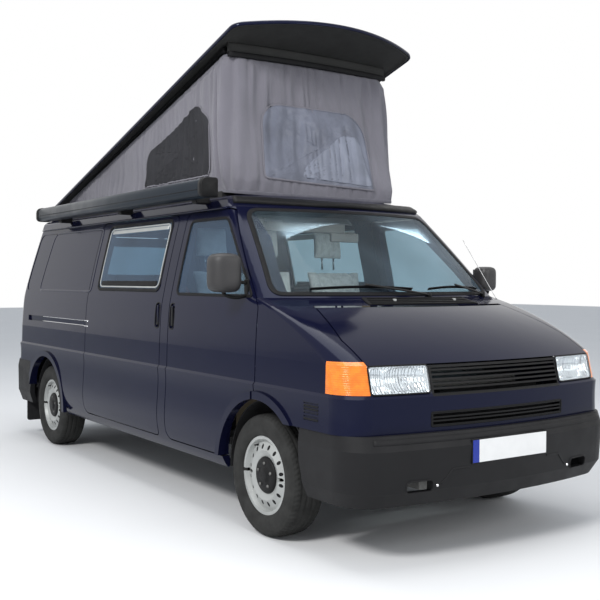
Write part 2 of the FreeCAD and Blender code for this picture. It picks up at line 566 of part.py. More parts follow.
def nose(tail_lugs):
    """Front wings, bonnet, front panel, screen frame, windscreen, lamps and grille."""
    ahead = SHELL.common(slab(DOOR_FRONT, 3000, -FAR, FAR, s.bumper_top, s.crease_z))
    bonnet_tool = prism_z(bonnet_plan, s.bonnet_edge_z, s.crease_z)
    seam_tool = prism_z(bonnet_plan, s.bonnet_edge_z - GAP, s.crease_z + GAP, GAP)
    thin = OUTER.cut(form(s.bonnet_thickness))
    lid = thin.common(bonnet_tool).common(slab(DOOR_FRONT, 3000, -FAR, FAR, s.bonnet_edge_z, s.crease_z - GAP))
    crease = levels()[3][-1]
    lid = lid.cut(Part.makeCylinder(crease[5] + 16, 600, Vector(FRONT_AXLE + crease[1] - crease[5], 0, 900), Z_AXIS))
    line_x, line_z = FRONT_AXLE + s.bonnet_hinge, s.crease_z - 16
    eyes, lugs = [], []
    for y in (-540, 540):
        lid = lid.cut(slab(line_x - 30, line_x + 12, y - 27, y + 27, line_z - 40, line_z + 4))
        lid = lid.cut(slab(line_x - 30, line_x + 5, y - 27, y + 27, line_z, s.crease_z))
        arm = slab(line_x, line_x + 70, y - 14, y + 14, line_z - 7, line_z + 3).common(OUTER)
        eye = tube_y(line_x, line_z, 7, 0, y - 14, y + 14).fuse(arm)
        eyes.append(eye.cut(tube_y(line_x, line_z, 3.7 + s.running_fit, 0, y - 20, y + 20)))
        pin = tube_y(line_x, line_z, 3.7, 0, y - 24, y + 24)
        ears = [slab(line_x - 27, line_x + 6, a, a + 7, line_z - 6, line_z + 3).fuse(
            slab(line_x - 27, line_x - 16, a, a + 7, line_z - 6, s.crease_z)) for a in (y - 23, y + 16)]
        lugs.append(pin.multiFuse(ears))
    feature("bonnet", solids(lid.multiFuse(eyes)))
    feature("hinge_lugs", Part.Compound([x for lug in [*lugs, *tail_lugs] for x in lug.Solids]))
    lamp_y, grille_y = s.lamp_half, s.grille_half
    top = s.lamp_top_z - GAP
    lamps = prism_x([(grille_y + 3, s.lamp_foot_z + 3, 25), (grille_y + 3, top, 25), (lamp_y, top, 20),
                     (lamp_y, s.lamp_foot_z + 3, 20)], FRONT_AXLE + 500, 3000)
    turn = prism_x([(lamp_y + 3, s.lamp_foot_z + 3), (lamp_y + 3, s.lamp_top_z + 12), (FAR, s.lamp_top_z + 12),
                    (FAR, s.lamp_foot_z + 3)], FRONT_AXLE + 595, 3000)
    cage = slab(FRONT_AXLE + 500, 3000, -grille_y, grille_y, s.lamp_foot_z - 14, s.bonnet_edge_z - GAP)
    face = slab(FRONT_AXLE + 590, 3000, -lamp_y, lamp_y, 0, s.bonnet_edge_z)
    left = ahead.common(slab(-3000, 3000, 0, FAR, 0, 2000))
    wing = left.cut(seam_tool).cut(face).cut(lamps).cut(turn).cut(WELLS)
    lip = FRONT_FLARE.common(slab(DOOR_FRONT, 3000, 0, FAR, s.bumper_top, 2000))
    louvres = [slab(FRONT_AXLE + 425, FRONT_AXLE + 548, HALF - 10, FAR, z, z + 7)
               for z in (s.ledge_z - 140 + 16 * i for i in range(6))]
    wing = wing.cut(DOOR_SPACE).fuse(lip.cut(DOOR_SPACE)).cut(Part.Compound(louvres))
    feature("front_wings", both(wing))
    feature("headlamps", both(left.common(lamps)))
    feature("indicators", both(left.common(turn)))
    grille_hole = slab(FRONT_AXLE + 500, 3000, -grille_y - 8, grille_y + 8, 660, 727)
    panel = ahead.common(face).cut(lamps).cut(mirrored(lamps)).cut(cage).cut(grille_hole).cut(seam_tool)
    feature("front_panel", solids(panel))
    frame = thin.common(cage).cut(slab(FRONT_AXLE + 500, 3000, -grille_y + 12, grille_y - 12, s.lamp_foot_z - 2,
                                       s.bonnet_edge_z - GAP - 12))
    slats = [thin.common(slab(FRONT_AXLE + 500, 3000, -grille_y, grille_y, z, z + 9))
             for z in (s.lamp_foot_z + 16 + 22 * i for i in range(5))]
    low = thin.common(slab(FRONT_AXLE + 500, 3000, -grille_y - 8, grille_y + 8, 660, 727))
    low = low.cut(slab(FRONT_AXLE + 500, 3000, -grille_y, grille_y, 668, 719))
    bars = [thin.common(slab(FRONT_AXLE + 500, 3000, -grille_y, grille_y, z, z + 8)) for z in (681, 698)]
    feature("grille", solids(Part.Compound(frame.multiFuse(slats).Solids + low.multiFuse(bars).Solids)))
    high = prism_y([(FRONT_AXLE + 600, s.crease_z), (FRONT_AXLE + 600, 2000),
                    (PILLAR_HEAD[0] - 15, 2000), (PILLAR_HEAD[0], s.door_head_z + 4),
                    (DOOR_FRONT, PILLAR_FOOT[1] + 6), (DOOR_FRONT, s.crease_z)], -FAR, FAR)
    frame = SHELL.common(high).cut(screen_tool)
    frame = frame.cut(DOOR_SPACE).cut(mirrored(DOOR_SPACE))
    feature("screen_frame", solids(frame))
    feature("windscreen", solids(GLASS.common(screen_tool)))


front_doors()
side_walls()
nose(tail())


# ---------------------------------------------------------------- floor, bumpers and roof
def value(text):
    """The number that an expression gives in the sheet."""
    sheet.set("D1", "=" + re.sub(r"\$([a-z_]+)", r"\1", text))
    sheet.recompute()
    return float(sheet.get("D1"))


def tub(x, inner):
    """A wheel well's liner on the left side: a curved cover with a flat inner wall."""
    rim = s.arch_radius - 14
    cover = tube_y(x, s.tyre_radius, rim + 8, rim, inner, UPPER - s.wall - 14)
    wall = tube_y(x, s.tyre_radius, rim + 8, 0, inner - 8, inner)
    hole = tube_y(x, s.tyre_radius, 60, 0, 0, FAR).fuse(slab(x - 45, x + 45, 0, FAR, 0, s.tyre_radius + 115))
    return cover.fuse(wall).cut(hole).common(slab(x - 600, x + 600, 0, FAR, s.tyre_radius - 20, 1200))


def underbody(bumper):
    """Load floor with its two chassis rails, wheel liners and the bulkhead behind the engine."""
    plate = INSIDE.common(slab(TAIL + 60, FRONT_AXLE - 40, -FAR, FAR, s.floor_z - s.floor_thickness, s.floor_z))
    inner_front, inner_rear = 455, s.rear_track / 2 - s.tyre_width / 2 - 50
    drums = []
    for x, inner in ((FRONT_AXLE, inner_front), (REAR_AXLE, inner_rear)):
        for y0, y1 in ((inner - 8.2, FAR), (-FAR, -inner + 8.2)):
            drums.append(tube_y(x, s.tyre_radius, s.arch_radius - 5.8, 0, y0, y1))
    plate = plate.cut(drums[0].multiFuse(drums[1:]))
    rails = [slab(TAIL + 90, FRONT_AXLE - 120, y - 35, y + 35, s.floor_z - s.floor_thickness - 66,
                  s.floor_z - s.floor_thickness) for y in (-380, 380)]
    ring = form(s.wall).cut(INSIDE)
    links = [ring.common(slab(x0, x1, -FAR, FAR, s.floor_z - s.floor_thickness, s.floor_z)) for x0, x1 in
             ((SLIDE_FRONT + 18, DOOR_REAR - 18), (WELL_REAR - 20, SLIDE_REAR - 18))]
    feature("floor_pan", solids(plate.multiFuse(rails + links)))
    flap = slab(REAR_AXLE - 590, REAR_AXLE - 578, UPPER - 210, UPPER - 30, 125, 420)
    flap = rounded(flap, 20, Vector(1, 0, 0)).cut(bumper)
    feature("wheel_liners", both(Part.Compound([tub(FRONT_AXLE, inner_front), tub(REAR_AXLE, inner_rear), flap])))
    head = s.crease_z - 60
    wall = slab(FRONT_AXLE - 40, FRONT_AXLE - 15, -UPPER + s.wall + 30, UPPER - s.wall - 30, s.floor_z - 40, head)
    beams = [slab(FRONT_AXLE - 15, FRONT_AXLE + 790, y, y + 70, 480, 560) for y in (345, -415)]
    cross = slab(FRONT_AXLE + 790, FRONT_AXLE + 830, -520, 520, 470, 570)
    foot_y = HINGE_FOOT.y - 140
    post = slab(HINGE_LINE_X - 22, FRONT_AXLE - 40, foot_y - 40, foot_y, s.floor_z, s.crease_z - 60)
    post = post.cut(tube_y(FRONT_AXLE, s.tyre_radius, s.arch_radius + 9, 0, 0, FAR))
    for z in HINGE_ROWS:
        middle = hinge_point(z)
        arm = slab(HINGE_LINE_X - 9, HINGE_LINE_X + 9, foot_y - 5, middle.y, z - 12, z + 12)
        eye = Part.makeCylinder(9, 24, middle - HINGE_AXIS * 12, HINGE_AXIS)
        hole = Part.makeCylinder(5 + s.running_fit, 60, middle - HINGE_AXIS * 30, HINGE_AXIS)
        post = post.fuse(arm.fuse(eye)).cut(hole)
    wall = wall.cut(drums[0].multiFuse(drums[1:]))
    feature("inner_frame", solids(wall.multiFuse([cross, *beams, post, mirrored(post)])))


def bumpers():
    """Front and rear bumpers: moulded shells that wrap round to the wheel arches."""
    reach = s.front_overhang
    wide = HALF - 4
    def shell(rows, thick, zone):
        outer = Part.makeLoft([outline(*row, s.nose_bow) for row in rows], True, True)
        lift = [-20] + [0] * (len(rows) - 2) + [20]
        inner = Part.makeLoft([outline(z + up, n - thick, h - thick, c - 30, t - thick, s.nose_bow)
                               for up, (z, n, h, c, t) in zip(lift, rows)], True, True)
        return outer.cut(inner).common(zone).cut(WELLS).cut(liner_space())
    front = [(s.bumper_foot, reach - 55, wide - 40, s.nose_corner + 30, s.tail_reach),
             (s.bumper_foot + 75, reach - 12, wide - 8, s.nose_corner + 30, s.tail_reach),
             (s.bumper_top - 70, reach, wide, s.nose_corner + 30, s.tail_reach),
             (s.bumper_top, reach - 24, wide - 8, s.nose_corner + 30, s.tail_reach)]
    zone = slab(FRONT_AXLE + 380, 3000, -FAR, FAR, 0, s.bumper_top)
    holes = [slab(FRONT_AXLE + 600, 3000, y - 70, y + 70, 362, 412) for y in (-560, 560)]
    seat = slab(FRONT_AXLE + reach - 13, 3000, -263, 263, 471, 589)
    feature("front_bumper", solids(shell(front, 40, zone).cut(holes[0].multiFuse([holes[1], seat]))))
    tail_end = s.rear_overhang
    rear = [(s.sill_z, s.face_reach, wide - 30, s.tail_corner + 20, tail_end - 30),
            (s.sill_z + 90, s.face_reach, wide - 2, s.tail_corner + 20, tail_end - 4),
            (s.rear_bumper_top - 60, s.face_reach, wide, s.tail_corner + 20, tail_end),
            (s.rear_bumper_top, s.face_reach, wide - 8, s.tail_corner + 20, tail_end - 16)]
    zone = slab(-3000, REAR_AXLE - 380, -FAR, FAR, 0, s.rear_bumper_top)
    moulding = shell(rear, 40, zone)
    feature("rear_bumper", solids(moulding))
    return moulding


def roof_solid(inset):
    """The fixed roof above the gutter as a solid, smaller by inset."""
    half = HALF - s.gutter_inset - inset
    base = s.gutter_z - (0 if not inset else 5)
    crown = s.roof_z - inset
    section = Part.Wire([
        Part.makeLine(Vector(-3000, -half, base), Vector(-3000, half, base)),
        Part.makeLine(Vector(-3000, half, base), Vector(-3000, half - 24, base + 46)),
        Part.Arc(Vector(-3000, half - 24, base + 46), Vector(-3000, half - 45, base + 64),
                 Vector(-3000, half - 78, base + 76)).toShape(),
        Part.Arc(Vector(-3000, half - 78, base + 76), Vector(-3000, 0, crown),
                 Vector(-3000, -half + 78, base + 76)).toShape(),
        Part.Arc(Vector(-3000, -half + 78, base + 76), Vector(-3000, -half + 45, base + 64),
                 Vector(-3000, -half + 24, base + 46)).toShape(),
        Part.makeLine(Vector(-3000, -half + 24, base + 46), Vector(-3000, -half, base)),
    ])
    bar = Part.Face(section).extrude(Vector(6000, 0, 0))
    low_nose, low_tail = s.header_reach - inset, s.tail_reach - s.tail_lean - inset
    rows = [(base + up, low_nose - back, half + 4, 66, low_tail - short, s.screen_bow + 100)
            for up, back, short in ((0, 0, 0), (50, 90, 16), (84, 200, 50), (crown + 6 - base, 420, 130))]
    return bar.common(Part.makeLoft([outline(*row) for row in rows], True, True))


def roofs():
    """Fixed roof with the hatch under the tent."""
    hatch = prism_z([(FRONT_AXLE - 1010, -540, 60), (FRONT_AXLE - 1010, 540, 60),
                     (FRONT_AXLE - 3050, 540, 60), (FRONT_AXLE - 3050, -540, 60)], 1500, 2200)
    fixed = roof_solid(0).cut(roof_solid(40)).cut(hatch)
    feature("roof_panel", solids(fixed))


underbody(bumpers())
roofs()


# ---------------------------------------------------------------- lifting roof, tent and awning
HINGE = Vector(HINGE_X, 0, s.roof_hinge_z)


def raised(shape):
    """A shape of the closed lifting roof turned up about the rear hinge."""
    turned = shape.copy()
    turned.rotate(HINGE, Vector(0, -1, 0), s.roof_angle)
    return turned


def lifting_roof():
    """The shallow shell, its rear hinges, the frame under it and the bar across the front of the tent."""
    foot = s.roof_z + 8
    def dome(inset, foot_z):
        half = s.shell_half_width - inset
        top = foot + s.shell_rise - inset
        tail = REAR_AXLE - HINGE_X - inset
        rows = [(foot_z, s.shell_nose - inset, half, 170, tail + 60, 1250 - inset),
                (foot + 34, s.shell_nose - inset - 6, half - 3, 168, tail + 57, 1250 - inset),
                (foot + 66, s.shell_nose - inset - 70, half - 26, 150, tail + 35, 1250 - inset),
                (foot + s.shell_rise + 10, s.shell_nose - inset - 330, half - 110, 120, tail - 60, 1250 - inset)]
        whole = Part.makeLoft([outline(*row) for row in rows], True, True)
        edge = foot + 50 - inset
        arc = Part.Arc(Vector(-3000, half + 20, edge), Vector(-3000, 0, top), Vector(-3000, -half - 20, edge))
        low = Vector(-3000, half + 20, foot - 60)
        crown = Part.Wire([arc.toShape(), Part.makeLine(Vector(-3000, -half - 20, edge),
                                                       Vector(-3000, -half - 20, foot - 60)),
                           Part.makeLine(Vector(-3000, -half - 20, foot - 60), low),
                           Part.makeLine(low, Vector(-3000, half + 20, edge))])
        return whole.common(Part.Face(crown).extrude(Vector(6000, 0, 0)))

    skin = dome(0, foot).cut(dome(s.shell_skin, foot - 10))
    feature("pop_top_shell", solids(raised(skin)))
    bar = rounded(slab(FRONT_AXLE + s.tent_front + 90, FRONT_AXLE + s.tent_front + 130, -s.tent_half_width,
                       s.tent_half_width, foot + 20, foot + 60), 8, Y_AXIS)
    rails = [slab(HINGE_X + 160, FRONT_AXLE + s.tent_front + 90, y - 18, y + 18, foot + 26, foot + 42)
             for y in (-s.tent_half_width + 20, s.tent_half_width - 20)]
    eyes, brackets = [], []
    for y in (-520, 520):
        eye = tube_y(HINGE_X, s.roof_hinge_z, 12, 0, y - 25, y + 25)
        leaf = slab(HINGE_X - 11, HINGE_X + 11, y - 25, y + 25, s.roof_hinge_z, foot + 90)
        plate = slab(HINGE_X - 11, HINGE_X + 120, y - 25, y + 25, foot + 30, foot + 90)
        eye = eye.fuse(leaf.fuse(plate).common(dome(s.shell_skin, foot - 10)))
        eyes.append(raised(eye.fuse(leaf.common(slab(-3000, 0, -FAR, FAR, 0, foot + 2))).cut(
            tube_y(HINGE_X, s.roof_hinge_z, 5 + s.running_fit, 0, y - 40, y + 40))))
        pin = Part.makeCylinder(5, 80, Vector(HINGE_X, y - 40, s.roof_hinge_z), Y_AXIS)
        for at in (y - 36, y + 28):
            lug = slab(HINGE_X - 12, HINGE_X + 12, at, at + 8, s.roof_z - 50, s.roof_hinge_z + 9)
            pin = pin.fuse(lug)
        brackets.append(pin.cut(roof_solid(0)))
    frame = raised(bar.multiFuse(rails).common(dome(s.shell_skin, foot - 10)))
    feature("pop_top_frame", Part.Compound([x for e in [frame, *eyes] for x in e.Solids]))
    return brackets


def tent(brackets):
    """The tent's cloth: a front wall and two side walls that run back to the hinge, open above and below."""
    front = FRONT_AXLE + s.tent_front
    base = s.roof_z + 2
    slope = math.tan(math.radians(s.roof_angle))
    back = HINGE_X + 330

    def body(inset, low):
        half = s.tent_half_width - inset
        nose = front - inset
        lift = (s.roof_z + 8 + 25.7 - s.roof_hinge_z) / math.cos(math.radians(s.roof_angle))
        top_front = s.roof_hinge_z + (nose - 45 - HINGE_X) * slope + lift
        top_back = s.roof_hinge_z + (back - HINGE_X) * slope + lift
        side = [(nose, low), (nose - 45, top_front), (back, top_back), (back, low)]
        return prism_y(side, -half, half)

    feature("tent_canvas", solids(body(0, base).cut(body(s.tent_cloth, base - 20))))
    low, high, wide = s.roof_z - 60, s.roof_z + 1.7, s.tent_half_width + 12
    bars = [slab(front - 20, front + 14, -wide, wide, low, high), slab(back, back + 30, -wide, wide, low, high)]
    bars += [slab(back + 30, front - 20, y, y + 36, low, high) for y in (-wide, wide - 36)]
    crown = roof_solid(0)
    seats = [x for bar in bars for x in bar.cut(crown).Solids]
    feature("tent_sill", solids(Part.Compound(seats + [x for bracket in brackets for x in bracket.Solids])))


def awning():
    """The rolled awning on the right: an extruded case, two end caps and three brackets."""
    x1 = FRONT_AXLE + s.awning_front
    x0 = x1 - s.awning_length
    y0, z0 = -HALF + s.gutter_inset - 4 - s.awning_depth, s.gutter_z + 22
    y1, z1 = y0 + s.awning_depth, z0 + s.awning_height
    section = [(y0, z0, 30), (y0, z1, 52), (y1, z1, 30), (y1, z0, 18)]
    feature("awning_case", prism_x(section, x0 + 45, x1 - 45))
    caps = [prism_x([(y0 - 4, z0 - 4, 32), (y0 - 4, z1 + 4, 54), (y1 + 3, z1 + 4, 32), (y1 + 3, z0 - 4, 20)], a, a + 45)
            for a in (x0, x1 - 45)]
    brackets = [slab(a, a + 60, y1, y1 + 60, s.gutter_z + 8, z0 + 100) for a in
                (x0 + 260, 0.5 * (x0 + x1) - 30, x1 - 320)]
    brackets = [x for b in brackets for x in b.cut(roof_solid(0)).cut(OUTER).Solids]
    feature("awning_fittings", solids(Part.Compound([*caps, *brackets])))


tent(lifting_roof())
awning()


# ---------------------------------------------------------------- wheels and axles
def profile(body, role, corners, name):
    """A sketch on one of the body's origin planes; each (x, y) corner is bound to its expressions."""
    sketch = body.newObject("Sketcher::SketchObject", name)
    plane = next(f for f in body.Origin.OriginFeatures if f.Role == role)
    sketch.AttachmentSupport = (plane, "")
    sketch.MapMode = "FlatFace"
    points = [Vector(value(x), value(y), 0) for x, y in corners]
    count = len(points)
    for i in range(count):
        sketch.addGeometry(Part.LineSegment(points[i], points[(i + 1) % count]), False)
    for i in range(count):
        sketch.addConstraint(Sketcher.Constraint("Coincident", i, 2, (i + 1) % count, 1))
    for i, (x, y) in enumerate(corners):
        for kind, text, number in (("DistanceX", x, points[i].x), ("DistanceY", y, points[i].y)):
            at = sketch.addConstraint(Sketcher.Constraint(kind, -1, 1, i, 1, number))
            sketch.setExpression(f"Constraints[{at}]", cells(text))
    return sketch


def revolve(body, sketch, axis="V_Axis"):
    """A full revolution of a sketch about one of its own axes."""
    turn = body.newObject("PartDesign::Revolution", "Turn")
    turn.Profile = sketch
    turn.ReferenceAxis = (sketch, [axis])
    turn.Angle = 360
    body.Tip = turn
    return turn


TYRE_HALF = [("$rim_radius - 13.5", "$rim_width / 2 - 8.4"), ("$rim_radius + 0.6", "$rim_width / 2 - 8.4"),
             ("$rim_radius + 0.6", "$rim_width / 2 + 1"), ("$rim_radius + 14", "$tyre_width / 2 - 8"),
             ("$rim_radius + 45", "$tyre_width / 2"), ("$tyre_radius - 34", "$tyre_width / 2 - 3"),
             ("$tyre_radius - 8", "$tyre_width / 2 - 17"), ("$tyre_radius", "$tyre_width / 2 - 36")]
TYRE_INNER = [("$rim_radius - 13.5", "$rim_width / 2 - 22"), ("$rim_radius + 45", "$tyre_width / 2 - 14"),
              ("$tyre_radius - 16", "$tyre_width / 2 - 40")]


def across(rows):
    """The same corners on the wheel's other side."""
    return [(r, f"-({y})") for r, y in rows]


TYRE = across(TYRE_HALF) + TYRE_HALF[::-1] + TYRE_INNER + across(TYRE_INNER)[::-1]
RIM = [("$rim_radius - 14", "-$rim_width / 2 + 8"), ("$rim_radius", "-$rim_width / 2 + 6"),
       ("$rim_radius", "-$rim_width / 2"), ("$rim_radius - 14", "-$rim_width / 2"),
       ("$rim_radius - 22", "-$rim_width / 2 + 30"), ("$rim_radius - 30", "-$rim_width / 2 + 46"),
       ("$rim_radius - 30", "$rim_width / 2 - 36"), ("130", "$rim_width / 2 - 14"), ("92", "$rim_width / 2 - 34"),
       ("32 + $running_fit", "$rim_width / 2 - 34"), ("32 + $running_fit", "$rim_width / 2 - 22"),
       ("86", "$rim_width / 2 - 22"), ("132", "$rim_width / 2 - 2"), ("$rim_radius - 26", "$rim_width / 2 - 24"),
       ("$rim_radius - 16", "$rim_width / 2"), ("$rim_radius", "$rim_width / 2"),
       ("$rim_radius", "$rim_width / 2 - 6"), ("$rim_radius - 14", "$rim_width / 2 - 8"),
       ("$rim_radius - 24", "$rim_width / 2 - 34"), ("$rim_radius - 24", "-$rim_width / 2 + 42"),
       ("$rim_radius - 16", "-$rim_width / 2 + 28")]


def wheels():
    """Four tyres and four pressed steel rims with a ring of vent holes."""
    rows = [("front", "left", X_FRONT_AXLE, "$front_track / 2", 0), ("front", "right", X_FRONT_AXLE,
            "-$front_track / 2", 180), ("rear", "left", X_REAR_AXLE, "$rear_track / 2", 0),
            ("rear", "right", X_REAR_AXLE, "-$rear_track / 2", 180)]
    for axle, side, x, y, spin in rows:
        tyre = doc.addObject("PartDesign::Body", f"Tyre_{axle}_{side}")
        revolve(tyre, profile(tyre, "XY_Plane", TYRE, "TyreSection"))
        place(tyre, x, y, "$tyre_radius", ((0, 0, 1), spin))
        part(tyre, f"tyre_{axle}_{side}")
        rim = doc.addObject("PartDesign::Body", f"Rim_{axle}_{side}")
        revolve(rim, profile(rim, "XY_Plane", RIM, "RimSection"))
        hole = rim.newObject("Sketcher::SketchObject", "VentHole")
        hole.AttachmentSupport = (next(f for f in rim.Origin.OriginFeatures if f.Role == "XZ_Plane"), "")
        hole.MapMode = "FlatFace"
        hole.addGeometry(Part.Circle(Vector(152, 0, 0), Vector(0, 0, 1), 10), False)
        hole.addConstraint(Sketcher.Constraint("Radius", 0, 10))
        hole.addConstraint(Sketcher.Constraint("PointOnObject", 0, 3, -1))
        away = hole.addConstraint(Sketcher.Constraint("DistanceX", -1, 1, 0, 3, s.rim_radius - 56))
        hole.setExpression(f"Constraints[{away}]", cells("$rim_radius - 56"))
        vent = rim.newObject("PartDesign::Pocket", "Vent")
        vent.Profile = hole
        vent.Type = "ThroughAll"
        vent.Midplane = True
        ring = rim.newObject("PartDesign::PolarPattern", "Vents")
        ring.Originals = [vent]
        ring.Axis = (hole, ["V_Axis"])
        ring.Angle = 360
        ring.Occurrences = 16
        rim.Tip = ring
        place(rim, x, y, "$tyre_radius", ((0, 0, 1), spin))
        part(rim, f"rim_{axle}_{side}")


def axles():
    """Front subframe with its kingpin eyes, the two knuckles, and the rear beam with its stub axles."""
    pin_y = s.front_track / 2 - s.kingpin_inset
    z = s.tyre_radius
    left = Part.makeCylinder(22, 216, Vector(FRONT_AXLE, pin_y, z - 108), Z_AXIS)
    left = left.fuse(Part.makeCylinder(45, 150, Vector(FRONT_AXLE, pin_y, z - 75), Z_AXIS))
    stub = Part.makeCylinder(32, 165, Vector(FRONT_AXLE, pin_y, z), Y_AXIS)
    disc = Part.makeCylinder(140, 22, Vector(FRONT_AXLE, pin_y + 66, z), Y_AXIS)
    pair("knuckle", left.fuse(stub).fuse(disc))
    arms = []
    for sign in (1, -1):
        for low, high in ((z - 106, z - 80), (z + 80, z + 106)):
            arm = slab(FRONT_AXLE - 28, FRONT_AXLE + 28, 300, pin_y, low, high)
            arm = arm.fuse(Part.makeCylinder(38, high - low, Vector(FRONT_AXLE, pin_y, low), Z_AXIS))
            arm = arm.cut(Part.makeCylinder(22 + s.running_fit, 300, Vector(FRONT_AXLE, pin_y, low - 5), Z_AXIS))
            arms.append(arm if sign == 1 else mirrored(arm))
    frame = [slab(FRONT_AXLE - 90, FRONT_AXLE + 90, a, a + 50, z - 106, z + 106)
             for a in (300, -350)]
    cross = slab(FRONT_AXLE - 90, FRONT_AXLE - 50, -350, 350, z - 106, z - 60)
    feature("front_subframe", solids(arms[0].multiFuse(arms[1:] + frame + [cross])))
    hub_y = s.rear_track / 2 - 94
    beam = Part.makeCylinder(38, 2 * hub_y, Vector(REAR_AXLE, -hub_y, z), Y_AXIS)
    ends = [Part.makeCylinder(32, 2 * hub_y + 320, Vector(REAR_AXLE, -hub_y - 160, z), Y_AXIS)]
    ends += [Part.makeCylinder(140, 22, Vector(REAR_AXLE, y, z), Y_AXIS) for y in (hub_y + 20, -hub_y - 42)]
    arms = [slab(REAR_AXLE - 30, REAR_AXLE + 480, y - 30, y + 30, z - 20, s.floor_z - s.floor_thickness - 66)
            for y in (-380, 380)]
    feature("rear_axle", solids(beam.multiFuse(ends + arms)))


wheels()
axles()


# ---------------------------------------------------------------- machinery and cabin
def machinery():
    """Engine and gearbox, radiator, tank and silencer as plain blocks."""
    part(box("Engine", "500", "690", "560", f"{X_FRONT_AXLE} + 130", "-345", "300"), "engine")
    part(box("Radiator", "60", "690", "420", f"{X_FRONT_AXLE} + 720", "-345", "400"), "radiator")
    tank = box("FuelTank", "620", "560", "170", f"{X_REAR_AXLE} + 900", "-330", "$floor_z - $floor_thickness - 170")
    silencer = rod("Silencer", "80", "900", f"{X_REAR_AXLE} + 1700", "-200", "$floor_z - $floor_thickness - 80", "x")
    part(fuse("Underfloor", tank, silencer), "tank_and_silencer")


def seat(y0, y1, x, z):
    """A plain seat: cushion and leaning back as one closed solid."""
    side = [(x + 480, z, 60), (x + 480, z + 130, 40), (x + 40, z + 110, 30), (x - 120, z + 690, 40),
            (x - 220, z + 680, 40), (x - 60, z, 40)]
    return prism_y(side, y0, y1)


def cabin(column):
    """Dashboard, seats on their boxes, steering column, camper cupboards and the rear bench."""
    dash_side = [(FRONT_AXLE - 40, s.crease_z - 40, 10), (FRONT_AXLE - 40, 820, 30), (FRONT_AXLE - 110, 800, 30),
                 (FRONT_AXLE - 260, 960, 40), (FRONT_AXLE - 290, 1130, 40), (FRONT_AXLE - 200, s.crease_z - 20, 40)]
    feature("dashboard", solids(prism_y(dash_side, -700, 700).common(INSIDE).fuse(column)))
    seat_x = DOOR_REAR + 60
    boxes = [slab(seat_x - 40, seat_x + 440, y0, y1, s.floor_z, s.floor_z + 300) for y0, y1 in
             ((190, 690), (-700, 100))]
    z = s.floor_z + 300
    seats = [seat(180, 700, seat_x, z + 0.3), seat(-720, 110, seat_x, z + 0.3)]
    rests = [rounded(slab(seat_x - 250, seat_x - 150, y - 130, y + 130, z + 720, z + 900), 35, Y_AXIS)
             for y in (440, -120, -500)]
    stems = [Part.makeCylinder(8, 90, Vector(seat_x - 190, y + d, z + 660), Z_AXIS)
             for y in (440, -120, -500) for d in (-50, 50)]
    feature("cab_seats", solids(seats[0].multiFuse([seats[1], *rests, *stems])))
    cupboard = slab(WELL_REAR - 20, SLIDE_FRONT - 40, 330, UPPER - s.wall - 30, s.floor_z, s.floor_z + 780)
    cupboard = cupboard.common(INSIDE)
    bench = [(REAR_AXLE + 330, s.floor_z + 330, 40), (REAR_AXLE + 330, s.floor_z + 470, 40),
             (REAR_AXLE - 130, s.floor_z + 450, 30), (REAR_AXLE - 260, s.floor_z + 1000, 40),
             (REAR_AXLE - 360, s.floor_z + 1000, 40), (REAR_AXLE - 280, s.floor_z + 330, 40)]
    feature("rear_bench", prism_y(bench, -560, 560))
    boxes.append(slab(REAR_AXLE - 260, REAR_AXLE + 320, -560, 560, s.floor_z, s.floor_z + 329.7))
    feature("furniture", Part.Compound([x for b in [cupboard, *boxes] for x in b.Solids]))


def steering():
    """Steering column with its shroud, and the wheel that turns on it."""
    centre = Vector(DOOR_REAR + 560, 440, 1090)
    axis = Vector(-math.sin(math.radians(62)), 0, math.cos(math.radians(62)))
    grip = [Vector(s.steering_wheel_radius - 15 + 15 * math.cos(a), 0, 15 * math.sin(a))
            for a in (math.radians(60 * i) for i in range(6))]
    wheel = Part.Face(Part.makePolygon(grip + grip[:1])).revolve(Vector(), Z_AXIS, 360)
    hub = Part.makeCylinder(62, 44, Z_AXIS * -34)
    spokes = []
    for degrees in (0, 120, 240):
        spoke = slab(0, s.steering_wheel_radius - 15, -14, 14, -7, 5)
        spoke.rotate(Vector(), Z_AXIS, degrees + 90)
        spokes.append(spoke)
    bore = Part.makeCylinder(14 + s.running_fit, 26, Z_AXIS * -35)
    wheel = wheel.multiFuse([hub] + spokes).cut(bore)
    wheel.Placement = Placement(centre, Rotation(Z_AXIS, axis))
    feature("steering_wheel", wheel)
    shaft = Part.makeCylinder(14, 330, centre - axis * 340, axis)
    shroud = Part.makeCylinder(40, 190, centre - axis * 240, axis)
    return shaft.fuse(shroud)


